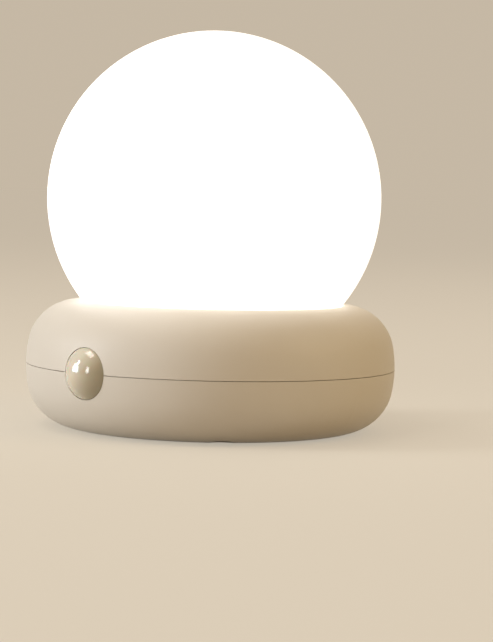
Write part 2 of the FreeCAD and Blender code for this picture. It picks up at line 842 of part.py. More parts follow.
def cross_recess(label, head_radius, x, y, z, depth):
    """Cross-shaped driver recess of a screw head."""
    arm, across = head_radius * CROSS_ARM, head_radius * CROSS_BLADE
    return [block(label + "_a", arm, across, depth, x, y, z), block(label + "_b", across, arm, depth, x, y, z)]


def small_screw(label, x, y, seat, length):
    """Small pan-head screw that points down from its seat."""
    head = rod(label + "_head", mm.small_head_radius, mm.small_head_height, x, y, seat)
    shank = rod(label + "_shank", mm.small_screw_radius, length, x, y, seat - length)
    cross = cross_recess(label + "_cross", mm.small_head_radius, x, y, seat + mm.small_head_height / 2,
                         mm.small_head_height)
    return cut(label, join(label + "_blank", head, shank), *cross)


# Globe

def make_globe():
    """Blown globe: a hollow ball on a straight neck, with three snap tabs."""
    body = new_body("globe_ball")
    sketch = sketch_on(body, "globe_outline", "XZ_Plane")
    outer, inner = mm.globe_radius, mm.globe_radius - mm.globe_wall
    neck_in = mm.neck_radius - mm.globe_wall
    top = mm.globe_centre
    outer_start = -math.acos(mm.neck_radius.value / outer.value)
    inner_start = -math.acos(neck_in.value / inner.value)
    middle = point((0, top))
    up = Vector(0, 0, 1)
    drop_out = top - (outer * outer - mm.neck_radius * mm.neck_radius).root()
    drop_in = top - (inner * inner - neck_in * neck_in).root()
    sketch.addGeometry(Part.ArcOfCircle(Part.Circle(middle, up, outer.value), outer_start, math.pi / 2))
    sketch.addGeometry(Part.LineSegment(point((0, top + outer)), point((0, top + inner))))
    sketch.addGeometry(Part.ArcOfCircle(Part.Circle(middle, up, inner.value), inner_start, math.pi / 2))
    sketch.addGeometry(Part.LineSegment(point((neck_in, drop_in)), point((neck_in, mm.deck_level))))
    sketch.addGeometry(Part.LineSegment(point((neck_in, mm.deck_level)), point((mm.neck_radius, mm.deck_level))))
    sketch.addGeometry(Part.LineSegment(point((mm.neck_radius, mm.deck_level)), point((mm.neck_radius, drop_out))))
    for first, end, second, start in ((0, 2, 1, 1), (1, 2, 2, 2), (2, 1, 3, 1), (3, 2, 4, 1), (4, 2, 5, 1),
                                      (5, 2, 0, 1)):
        rule(sketch, "Coincident", first, end, second, start)
    for arc, radius in ((0, outer), (2, inner)):
        fix(sketch, arc, 3, 0, top)
        rule(sketch, "Radius", arc, size=radius)
        rule(sketch, "PointOnObject", arc, 2, -2)
    rule(sketch, "Vertical", 3)
    rule(sketch, "Vertical", 5)
    rule(sketch, "Horizontal", 4)
    fix(sketch, 4, 1, neck_in, mm.deck_level)
    rule(sketch, "DistanceX", -1, 1, 4, 2, size=mm.neck_radius)
    revolve(body, "globe_turn", sketch)

    outside = mm.neck_radius - mm.tab_play
    under = mm.deck_level - mm.deck_thickness
    catch = under - mm.tab_play
    low = catch - mm.tab_hook_depth
    hook = outside + mm.tab_hook
    corners = [(neck_in, low), (outside - mm.tab_hook, low), (hook, catch), (outside, catch),
               (outside, mm.deck_level + 1), (neck_in, mm.deck_level + 1)]
    ring = revolved_solid("tab_ring", corners)
    tabs = common("globe_tabs", ring, tab_bars("tab_bar", mm.tab_width, low, mm.deck_level + 1))
    return join("globe", body, tabs)


# Light engine

def make_led_board():
    """Round aluminium board that lies on the deck."""
    body = new_body("led_board")
    sketch = sketch_on(body, "led_board_outline", "XY_Plane", mm.deck_level)
    circle(sketch, mm.led_board_radius)
    circle(sketch, mm.wire_hole_radius)
    for angle in TAB_ANGLES:
        x, y = on_circle(mm.led_screw_circle, angle)
        circle(sketch, mm.small_screw_radius + mm.small_hole_play, x, y)
    pad(body, "led_board_plate", sketch, mm.led_board_thickness)
    return body


def make_leds():
    """Ring of flat light-emitting chips, each square to the lamp's axis."""
    chips = []
    level = mm.deck_level + mm.led_board_thickness
    for number in range(LED_COUNT):
        angle = (number + 0.5) * FULL_TURN / LED_COUNT
        x, y = on_circle(mm.led_ring_radius, angle)
        chip = doc.addObject("Part::Box", "led_%d" % number)
        tie(chip, Length=mm.led_width, Width=mm.led_length, Height=mm.led_height)
        chip.Placement = FreeCAD.Placement(Vector(), FreeCAD.Rotation(Vector(0, 0, 1), angle))
        turn = math.radians(angle)
        corner_x = x - mm.led_width / 2 * math.cos(turn) + mm.led_length / 2 * math.sin(turn)
        corner_y = y - mm.led_width / 2 * math.sin(turn) - mm.led_length / 2 * math.cos(turn)
        chips.append(place(chip, corner_x, corner_y, level))
    return group("leds", *chips)


def make_led_board_screws():
    """Three small screws that hold the light board to the deck."""
    seat = mm.deck_level + mm.led_board_thickness
    length = mm.led_board_thickness + mm.deck_thickness + mm.led_boss_depth / 4
    screws = []
    for angle in TAB_ANGLES:
        x, y = on_circle(mm.led_screw_circle, angle)
        screws.append(small_screw("led_screw_%d" % angle, x, y, seat, length))
    return group("led_board_screws", *screws)


# Light sensor

def make_sensor_lens():
    """Hollow milky dome with a flange that the two shells clamp."""
    body = new_body("sensor_lens")
    sketch = sketch_on(body, "lens_outline", "XY_Plane")
    rim, reach = mm.lens_radius, mm.lens_reach
    inner = rim - mm.lens_wall
    apex, inner_apex = reach + mm.lens_dome, reach + mm.lens_dome - mm.lens_wall
    bend = (rim * rim + mm.lens_dome * mm.lens_dome) / (mm.lens_dome * 2)
    hollow = mm.lens_dome - mm.lens_wall
    inner_bend = (inner * inner + hollow * hollow) / (hollow * 2)
    back = mm.flange_face - mm.flange_thickness
    up = Vector(0, 0, 1)
    start = -math.pi / 2
    outer_end = start + math.asin(rim.value / bend.value)
    inner_end = start + math.asin(inner.value / inner_bend.value)
    outer_mid, inner_mid = bend - apex, inner_bend - inner_apex
    sketch.addGeometry(Part.ArcOfCircle(Part.Circle(point((0, outer_mid)), up, bend.value), start, outer_end))
    corners = [(rim, -reach), (rim, -mm.flange_face), (mm.flange_radius, -mm.flange_face),
               (mm.flange_radius, -back), (inner, -back), (inner, -reach)]
    for first, second in zip(corners, corners[1:]):
        sketch.addGeometry(Part.LineSegment(point(first), point(second)))
    last = len(corners)
    sketch.addGeometry(Part.ArcOfCircle(Part.Circle(point((0, inner_mid)), up, inner_bend.value), start, inner_end))
    sketch.addGeometry(Part.LineSegment(point((0, -inner_apex)), point((0, -apex))))
    for index in range(last - 1):
        rule(sketch, "Coincident", index, 2, index + 1, 1)
    rule(sketch, "Coincident", last - 1, 2, last, 2)
    rule(sketch, "Coincident", last, 1, last + 1, 1)
    rule(sketch, "Coincident", last + 1, 2, 0, 1)
    for index, corner in enumerate(corners):
        fix(sketch, index + 1 if index < last - 1 else last, 1 if index < last - 1 else 2, *corner)
    for arc, radius, centre in ((0, bend, outer_mid), (last, inner_bend, inner_mid)):
        rule(sketch, "PointOnObject", arc, 3, -2)
        rule(sketch, "PointOnObject", arc, 1, -2)
        rule(sketch, "DistanceY", -1, 1, arc, 3, size=centre)
    revolve(body, "lens_turn", sketch)
    return body


def make_sensor_can():
    """Metal can of the motion sensor, with a square window in its front."""
    face = mm.sensor_board_face
    flange = rod("can_flange", mm.can_flange_radius, mm.can_flange_thickness,
                 y=-face - mm.can_flange_thickness, turn="back")
    can = rod("can_body", mm.can_radius, mm.can_height, y=-face - mm.can_height, turn="back")
    window = block("can_window", mm.window_width, mm.window_thickness * 2, mm.window_height,
                   y=-face - mm.can_height, z=-mm.window_height / 2)
    return cut("sensor_can", join("can_blank", flange, can), window)


def make_sensor_window():
    """Filter window that fills the can's opening."""
    front = mm.sensor_board_face + mm.can_height
    return block("sensor_window", mm.window_width, mm.window_thickness, mm.window_height,
                 y=mm.window_thickness / 2 - front, z=-mm.window_height / 2)


def can_pins(label, radius, start, length):
    """Three parallel pins behind the can."""
    pins = []
    for angle in TAB_ANGLES:
        x, z = on_circle(mm.can_pin_circle, angle)
        pins.append(rod("%s_%d" % (label, angle), radius, length, x, start, z, turn="back"))
    return pins


def make_sensor_pins():
    return group("sensor_pins", *can_pins("pin", mm.can_pin_radius, -mm.sensor_board_face, mm.can_pin_length))


def make_sensor_board():
    """Small upright board that carries the sensor and the light cell."""
    plate = block("sensor_plate", mm.sensor_board_width, mm.sensor_board_thickness, mm.sensor_board_height,
                  y=mm.sensor_board_thickness / 2 - mm.sensor_board_face, z=-mm.sensor_board_height / 2)
    holes = can_pins("pin_hole", mm.can_pin_radius + mm.terminal_play, -mm.sensor_board_face - 1,
                     mm.sensor_board_thickness + 2)
    return cut("sensor_board", plate, *holes)


def make_light_cell():
    """Light cell beside the can."""
    return block("light_cell", mm.cell_width, mm.cell_height, mm.cell_length, x=mm.cell_offset,
                 y=-mm.sensor_board_face - mm.cell_height / 2, z=-mm.cell_length / 2)


# Driver board and what stands on it

def board_top():
    return mm.board_thickness - mm.board_level


def make_power_board():
    """Driver board on four standoffs, its corners notched round the screw bosses."""
    body = new_body("power_plate")
    sketch = sketch_on(body, "power_outline", "XY_Plane", -mm.board_level)
    side, front, back = mm.board_width / 2, -mm.board_front, mm.board_back
    polygon(sketch, [(-side, front), (side, front), (side, back), (-side, back)])
    pad(body, "power_thickness", sketch, mm.board_thickness)
    low = -mm.board_level - 1
    high = board_top() + 1
    holes = board_posts("board_hole", mm.small_screw_radius + mm.small_hole_play, low, high)
    pins = terminal_pins("terminal_hole", mm.terminal_radius + mm.terminal_play, low, high)
    notches = corner_posts("board_notch", mm.boss_radius + mm.board_boss_gap, low, high)
    return cut("power_board", body, *holes, *pins, *notches)


def make_board_screws():
    screws = []
    length = mm.board_thickness + mm.standoff_radius
    for name, side, end in (("a", 1, 1), ("b", -1, 1), ("c", 1, -1), ("d", -1, -1)):
        x, y = mm.standoff_x * side, mm.standoff_y * end
        screws.append(small_screw("board_screw_" + name, x, y, board_top(), length))
    return group("board_screws", *screws)


def make_film_capacitor():
    return block("film_capacitor", mm.film_length, mm.film_width, mm.film_height,
                 x=-mm.film_x, y=mm.film_y, z=board_top())


def make_smoothing_capacitor():
    """Electrolytic can with its rolled bead and vent dish."""
    radius, height = mm.smoothing_radius, mm.smoothing_height
    bead = radius / 12
    level = board_top()
    dish = radius * 0.8
    corners = [(0, level), (radius - bead, level), (radius, level + bead), (radius, level + bead * 4),
               (radius - bead, level + bead * 5), (radius, level + bead * 6), (radius, level + height - bead),
               (radius - bead, level + height), (dish, level + height), (dish, level + height - bead),
               (0, level + height - bead)]
    body = revolved_solid("smoothing_capacitor", corners)
    return place(body, mm.smoothing_x, mm.smoothing_y, 0)


def make_bridge_rectifier():
    return block("bridge_rectifier", mm.rectifier_length, mm.rectifier_width, mm.rectifier_height,
                 x=mm.rectifier_x, y=mm.rectifier_y, z=board_top())


def make_fuse_resistor():
    """Fusible resistor on two bent leads."""
    level = board_top()
    axis = level + mm.fuse_radius + mm.fuse_lift
    half = mm.fuse_length / 2
    body = rod("fuse_body", mm.fuse_radius, mm.fuse_length, -mm.fuse_x - half, -mm.fuse_y, axis, turn="right")
    reach = half + mm.fuse_lead_reach
    lead = rod("fuse_lead", mm.fuse_lead_radius, reach * 2, -mm.fuse_x - reach, -mm.fuse_y, axis, turn="right")
    legs = []
    elbow = mm.fuse_lead_radius * 1.3
    for name, side in (("left", -1), ("right", 1)):
        x = reach * side - mm.fuse_x
        legs.append(rod("fuse_leg_" + name, elbow, axis - level + elbow, x, -mm.fuse_y, level))
    return join("fuse_resistor", body, lead, *legs)


def make_control_chip():
    """Small-outline control chip with four legs a side."""
    level = board_top()
    lift = mm.chip_leg_width / 4
    body = block("chip_body", mm.chip_length, mm.chip_width, mm.chip_height - lift, y=-mm.chip_y, z=level + lift)
    legs = []
    for number in range(4):
        x = mm.chip_pitch * (number - 1.5)
        legs.append(block("chip_leg_%d" % number, mm.chip_leg_width, mm.chip_width + mm.chip_leg_reach * 2,
                          lift * 2, x, -mm.chip_y, level))
    return join("control_chip", body, *legs)


# Slide switch

def pad_level():
    return -mm.switch_pad_level


def flange_top():
    return pad_level() + mm.knob_flange_play + mm.knob_flange_thickness


def frame_low():
    return flange_top() + mm.frame_play


def base_low():
    return -mm.board_level - mm.base_plate


def make_switch_frame():
    """Folded steel frame: slotted face, two long sides and two ears."""
    low = frame_low()
    height = -mm.board_level - low
    outside = block("frame_outside", mm.frame_length, mm.frame_width, height, y=-mm.switch_y, z=low)
    inside = block("frame_inside", mm.frame_length - mm.frame_sheet * 2, mm.frame_width - mm.frame_sheet * 2,
                   height, y=-mm.switch_y, z=low + mm.frame_sheet)
    way = block("frame_slot", mm.stem_width + mm.travel * 2 + mm.slot_play * 2, mm.stem_depth + mm.slot_play * 2,
                mm.frame_sheet + 2, y=-mm.switch_y, z=low - 1)
    ears = block("frame_ears", mm.frame_length + mm.frame_ear * 2, mm.frame_width / 2, mm.frame_sheet,
                 y=-mm.switch_y, z=-mm.board_level - mm.frame_sheet)
    return cut("switch_frame", join("frame_blank", outside, ears), inside, way)


def make_switch_base():
    """Insulating plate that closes the frame and carries the terminals."""
    plate = block("base_sheet", mm.frame_length - mm.frame_sheet * 2, mm.frame_width - mm.frame_sheet * 2,
                  mm.base_plate, y=-mm.switch_y, z=base_low())
    pins = terminal_pins("base_hole", mm.terminal_radius, base_low() - 1, -mm.board_level + 1)
    return cut("switch_base", plate, *pins)


def terminal_spots():
    spots = []
    for number in range(4):
        for row in (-1, 1):
            name = "%d_%s" % (number, "front" if row < 0 else "back")
            spots.append((name, mm.terminal_pitch * (number - 1.5), mm.terminal_row * row - mm.switch_y))
    return spots


def terminal_pins(label, radius, low, high):
    """Eight upright pins of the switch."""
    return [rod("%s_%s" % (label, name), radius, high - low, x, y, low) for name, x, y in terminal_spots()]


def make_switch_terminals():
    """Eight terminals: a contact pad under the base plate and a pin through it."""
    low = base_low() - mm.terminal_pad
    top = board_top() + mm.terminal_rise
    terminals = []
    for name, x, y in terminal_spots():
        contact = block("contact_" + name, mm.terminal_pitch * 0.7, mm.wiper_width, mm.terminal_pad, x, y, low)
        pin = rod("terminal_pin_" + name, mm.terminal_radius, top - base_low(), x, y, base_low())
        terminals.append(join("terminal_" + name, contact, pin))
    return group("switch_terminals", *terminals)


def slider_low():
    return frame_low() + mm.frame_sheet + mm.slider_play / 2


def make_switch_slider():
    """Insulating slider: a carriage in the frame and a stem through its slot."""
    low = slider_low()
    width = mm.frame_width - mm.frame_sheet * 2 - mm.slider_play * 2
    carriage = block("carriage", mm.slider_length, width, mm.slider_height, y=-mm.switch_y, z=low)
    foot = -mm.half_height + mm.recess_depth
    stem = block("stem", mm.stem_width, mm.stem_depth, low + mm.slider_height - foot, y=-mm.switch_y, z=foot)
    notch = []
    top = low + mm.slider_height
    for name, row in (("front", -1), ("back", 1)):
        y = mm.terminal_row * row - mm.switch_y
        notch.append(block("wiper_notch_" + name, mm.wiper_span / 2, mm.wiper_width, mm.wiper_sheet * 2,
                           0, y, top - mm.wiper_sheet * 2))
    return cut("switch_slider", join("slider_blank", carriage, stem), *notch)


def make_switch_wiper():
    """Two spring strips on the slider that bridge neighbouring contacts."""
    top = slider_low() + mm.slider_height
    contact = base_low() - mm.terminal_pad - mm.wiper_play
    rise = contact - top
    sheet, half = mm.wiper_sheet, mm.wiper_span / 2
    strips = []
    for name, row in (("front", -1), ("back", 1)):
        body = new_body("wiper_" + name)
        y = mm.switch_y - mm.terminal_row * row
        sketch = sketch_on(body, "wiper_outline_" + name, "XZ_Plane", y)
        foot = half / 2
        polygon(sketch, [(-foot, top - sheet * 2), (foot, top - sheet * 2), (foot, top),
                         (half, top + rise - sheet), (half + foot, top), (half + foot + sheet, top + sheet),
                         (half + sheet / 2, contact), (half - sheet / 2, contact), (foot - sheet, top),
                         (foot - sheet, top - sheet), (sheet - foot, top - sheet), (sheet - foot, top),
                         (sheet / 2 - half, contact), (-half - sheet / 2, contact),
                         (-half - foot - sheet, top + sheet), (-half - foot, top), (-half, top + rise - sheet),
                         (-foot, top)])
        pad(body, "wiper_strip_" + name, sketch, mm.wiper_width, midplane=True)
        strips.append(body)
    return group("switch_wiper", *strips)


def make_switch_knob():
    """Finger piece: a flange inside the floor and a grooved knob in the recess."""
    slot_length = mm.knob_length + mm.travel * 2 + mm.slot_play * 2
    length = slot_length + (mm.travel + mm.knob_flange_overlap) * 2
    low = pad_level() + mm.knob_flange_play
    flange = block("knob_flange", length, mm.knob_flange_width, mm.knob_flange_thickness, y=-mm.switch_y, z=low)
    foot = -mm.half_height + mm.knob_drop
    body = new_body("knob_finger")
    sketch = sketch_on(body, "knob_outline", "YZ_Plane")
    side, middle, taper = mm.knob_width / 2, -mm.switch_y, mm.knob_drop
    polygon(sketch, [(middle - side, low + 0.1), (middle - side, foot + taper), (middle - side + taper, foot),
                     (middle + side - taper, foot), (middle + side, foot + taper), (middle + side, low + 0.1)])
    pad(body, "knob_block", sketch, mm.knob_length, midplane=True)
    grooves = []
    for number in (-1.5, -0.5, 0.5, 1.5):
        groove = mm.knob_groove
        grooves.append(block("knob_groove_%d" % (number * 2), groove, mm.knob_width + 1, groove * 2,
                             mm.knob_length / 4 * number, -mm.switch_y, foot - groove))
    sleeve = -mm.half_height + mm.recess_depth
    socket = block("knob_socket", mm.stem_width, mm.stem_depth, mm.half_height, y=-mm.switch_y, z=sleeve)
    return cut("switch_knob", join("knob_blank", flange, body), socket, *grooves)


# Plug

def make_plug_block():
    """Insulating block of the plug with the flange that the shells clamp."""
    body = new_body("plug_core")
    sketch = sketch_on(body, "plug_outline", "XZ_Plane", -mm.axis_to_wall)
    rectangle(sketch, mm.plug_width, mm.plug_height)
    core = pad(body, "plug_length", sketch, mm.axis_to_wall - mm.plug_inner)

    def long_edge(edge):
        start, end = edge.Vertexes[0].Point, edge.Vertexes[-1].Point
        return abs((end - start).y) > 1

    round_edges(body, "plug_corners", core, mm.plug_round, long_edge)
    flange = block("plug_flange", mm.plug_flange_width, mm.plug_flange_thickness, mm.plug_flange_height,
                   y=mm.plug_flange_face - mm.plug_flange_thickness / 2, z=-mm.plug_flange_height / 2)
    holes = []
    for name, side in (("left", -1), ("right", 1)):
        holes.append(block("blade_hole_" + name, mm.blade_thickness, mm.axis_to_wall, mm.blade_height,
                           x=mm.blade_spacing / 2 * side, y=mm.axis_to_wall, z=-mm.blade_height / 2))
    return cut("plug_block", join("plug_blank", body, flange), *holes)


def make_blade(label, side):
    """Flat plug blade with a bevelled tip and a narrow solder tail."""
    body = new_body(label)
    sketch = sketch_on(body, label + "_outline", "YZ_Plane", mm.blade_spacing / 2 * side)
    tip = mm.axis_to_wall + mm.blade_length
    bevel, half, tail = mm.blade_tip, mm.blade_height / 2, mm.tail_height / 2
    inner = mm.plug_inner
    end = inner - mm.blade_tail
    polygon(sketch, [(end, -tail), (inner, -tail), (inner, -half), (tip - bevel, -half),
                     (tip, bevel * 0.6 - half), (tip, half - bevel * 0.6), (tip - bevel, half),
                     (inner, half), (inner, tail), (end, tail)])
    core = pad(body, label + "_thickness", sketch, mm.blade_thickness, midplane=True)

    def tip_edge(edge):
        along_z = abs(edge.Vertexes[0].Point.z - edge.Vertexes[-1].Point.z) > 1
        return along_z and abs(edge.CenterOfMass.y - tip.value) < 1e-4

    doc.recompute()
    names = ["Edge%d" % number for number, edge in enumerate(core.Shape.Edges, 1) if tip_edge(edge)]
    chamfer = body.newObject("PartDesign::Chamfer", label + "_bevel")
    chamfer.Base = (core, names)
    tie(chamfer, Size=mm.blade_thickness * 0.3)
    return body


# Wires

def wire(label, stops, radius):
    """Round wire along straight runs joined by arcs."""
    points = [Vector(*(Size.of(value).value for value in stop)) for stop in stops]
    thick = radius.value
    bend = thick * 2.5
    edges = []
    start = points[0]
    for before, corner, after in zip(points, points[1:], points[2:]):
        arrive, leave = (corner - before).normalize(), (after - corner).normalize()
        turn = arrive.getAngle(leave)
        setback = bend * math.tan(turn / 2)
        first, last = corner - arrive * setback, corner + leave * setback
        inward = (leave - arrive).normalize()
        middle = corner + inward * (bend / math.cos(turn / 2) - bend)
        edges.append(Part.LineSegment(start, first).toShape())
        edges.append(Part.Arc(first, middle, last).toShape())
        start = last
    edges.append(Part.LineSegment(start, points[-1]).toShape())
    section = Part.Wire([Part.makeCircle(thick, points[0], points[1] - points[0])])
    item = doc.addObject("Part::Feature", label)
    item.Shape = Part.Wire(edges).makePipeShell([section], True, False)
    return item


def make_mains_lead(label, side):
    """Lead from a blade's tail to the driver board."""
    x = mm.blade_spacing / 2 * side
    start = mm.plug_inner - mm.blade_tail
    landing = mm.board_back - mm.wire_radius * 4
    return wire(label, [(x, start, 0), (x, landing, 0), (x, landing, board_top())], mm.wire_radius)


def make_led_leads():
    """Two leads from the driver board up to the light board."""
    level = mm.deck_level + mm.led_board_thickness
    over = level + mm.thin_wire_radius * 5
    leads = []
    for name, side in (("left", -1), ("right", 1)):
        x = mm.wire_hole_radius / 2 * side
        landing = mm.wire_hole_radius * 2.4
        stops = [(x, 0, board_top()), (x, 0, over), (x, landing, over), (x, landing, level)]
        leads.append(wire("led_lead_" + name, stops, mm.thin_wire_radius))
    return group("led_leads", *leads)


def make_sensor_leads():
    """Three leads from the sensor's board to the driver board."""
    start = mm.sensor_board_thickness - mm.sensor_board_face
    landing = mm.thin_wire_radius * 4 - mm.board_front
    level = -mm.sensor_wire_level + mm.thin_wire_radius
    leads = []
    for name, side in (("left", -1), ("middle", 0), ("right", 1)):
        x = mm.thin_wire_radius * 3 * side
        stops = [(x, start, level), (x, landing, level), (x, landing, board_top())]
        leads.append(wire("sensor_lead_" + name, stops, mm.thin_wire_radius))
    return group("sensor_leads", *leads)


PIECES = {
    "upper_shell": make_upper_shell(),
    "lower_shell": make_lower_shell(),
    "shell_screws": make_shell_screws(),
    "globe": make_globe(),
    "led_board": make_led_board(),
    "leds": make_leds(),
    "led_board_screws": make_led_board_screws(),
    "sensor_lens": make_sensor_lens(),
    "sensor_can": make_sensor_can(),
    "sensor_window": make_sensor_window(),
    "sensor_pins": make_sensor_pins(),
    "sensor_board": make_sensor_board(),
    "light_cell": make_light_cell(),
    "power_board": make_power_board(),
    "board_screws": make_board_screws(),
    "film_capacitor": make_film_capacitor(),
    "smoothing_capacitor": make_smoothing_capacitor(),
    "bridge_rectifier": make_bridge_rectifier(),
    "fuse_resistor": make_fuse_resistor(),
    "control_chip": make_control_chip(),
    "switch_frame": make_switch_frame(),
    "switch_base": make_switch_base(),
    "switch_terminals": make_switch_terminals(),
    "switch_slider": make_switch_slider(),
    "switch_wiper": make_switch_wiper(),
    "switch_knob": make_switch_knob(),
    "plug_block": make_plug_block(),
    "line_blade": make_blade("line_blade", 1),
    "neutral_blade": make_blade("neutral_blade", -1),
    "line_lead": make_mains_lead("line_lead", 1),
    "neutral_lead": make_mains_lead("neutral_lead", -1),
    "led_leads": make_led_leads(),
    "sensor_leads": make_sensor_leads(),
}


def stand_before_wall(name, item):
    """Name a finished piece and move it from the lamp's axis out from the wall."""
    item.Label = name
    ties = dict(item.ExpressionEngine)
    here = ties.get("Placement.Base.y", ties.get(".Placement.Base.y", "0"))
    item.setExpression("Placement.Base.y", "%s - %s" % (here, mm.axis_to_wall.formula))


def check():
    """Stop when any feature failed or any piece has no sound shape."""
    for item in doc.Objects:
        if "Invalid" in item.State or "Error" in item.State:
            raise RuntimeError("%s failed: %s" % (item.Label, item.State))
    for name, item in PIECES.items():
        if item.Shape.isNull() or not item.Shape.isValid():
            raise RuntimeError("%s has no sound shape" % name)


for piece_name, piece in PIECES.items():
    stand_before_wall(piece_name, piece)
doc.recompute()
check()
os.makedirs("parts", exist_ok=True)
for piece_name, piece in PIECES.items():
    piece.Shape.exportStep("parts/%s.step" % piece_name)
    print("%-20s %d solid(s) %9.1f mm3" % (piece_name, len(piece.Shape.Solids), piece.Shape.Volume))
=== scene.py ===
import json
import logging
import math
from collections.abc import Callable
from dataclasses import dataclass
from enum import Enum

import bpy
from mathutils import Matrix, Vector


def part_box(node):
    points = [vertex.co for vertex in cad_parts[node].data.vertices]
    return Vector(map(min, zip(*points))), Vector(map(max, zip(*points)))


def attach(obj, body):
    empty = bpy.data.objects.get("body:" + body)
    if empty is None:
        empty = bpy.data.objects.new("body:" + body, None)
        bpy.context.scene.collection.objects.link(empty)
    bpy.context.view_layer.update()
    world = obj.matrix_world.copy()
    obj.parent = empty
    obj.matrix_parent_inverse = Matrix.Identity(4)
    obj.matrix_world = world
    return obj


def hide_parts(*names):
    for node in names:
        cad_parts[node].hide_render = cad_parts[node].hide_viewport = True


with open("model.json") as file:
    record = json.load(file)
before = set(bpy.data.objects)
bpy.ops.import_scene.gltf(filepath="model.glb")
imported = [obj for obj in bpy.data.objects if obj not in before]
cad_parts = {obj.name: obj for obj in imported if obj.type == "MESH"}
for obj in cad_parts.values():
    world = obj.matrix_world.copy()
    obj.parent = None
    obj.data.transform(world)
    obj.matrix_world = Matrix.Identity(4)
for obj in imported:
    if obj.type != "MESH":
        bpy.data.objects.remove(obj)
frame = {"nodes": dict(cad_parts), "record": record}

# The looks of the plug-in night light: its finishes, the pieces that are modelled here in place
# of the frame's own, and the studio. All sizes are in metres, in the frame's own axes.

logging.basicConfig(level=logging.INFO, format="%(message)s")
log = logging.getLogger("night_light")

Colour = tuple[float, float, float, float]
Triple = tuple[float, float, float]

MM = 0.001
FACING = 0.99  # cosine past which a face or an edge counts as lying along an axis
FLOOR_GAP = 0.1 * MM
HOUSING = "housing"  # the body that every piece modelled here rides on


class Slot(Enum):
    """The record's material slots."""

    CREAM_PLASTIC = "cream_plastic"
    MILK_PLASTIC = "milk_plastic"
    PEARL_PLASTIC = "pearl_plastic"
    DARK_PLASTIC = "dark_plastic"
    BLACK_PLASTIC = "black_plastic"
    WHITE_PLASTIC = "white_plastic"
    BOARD_GREEN = "board_green"
    BOARD_WHITE = "board_white"
    PHOSPHOR = "phosphor"
    FILM_YELLOW = "film_yellow"
    SLEEVE_DARK = "sleeve_dark"
    RESISTOR_BLUE = "resistor_blue"
    STEEL = "steel"
    BRASS_NICKEL = "brass_nickel"
    PHENOLIC = "phenolic"
    RED_WIRE = "red_wire"
    BLUE_WIRE = "blue_wire"
    WHITE_WIRE = "white_wire"


def linear(red: float, green: float, blue: float) -> Colour:
    """Turn a colour written in 0 to 255 into linear values.

    Args:
        red: Red channel, 0 to 255.
        green: Green channel, 0 to 255.
        blue: Blue channel, 0 to 255.

    Returns:
        The colour as linear red, green, blue and an alpha of one.
    """
    def channel(value: float) -> float:
        """One channel from display to linear."""
        share = value / 255
        return share / 12.92 if share <= 0.04045 else ((share + 0.055) / 1.055) ** 2.4

    return channel(red), channel(green), channel(blue), 1.0


def shaded(colour: Colour, factor: float) -> Colour:
    """A colour made lighter or darker by a factor, its alpha kept."""
    return tuple(min(1.0, value * factor) for value in colour[:3]) + (colour[3],)


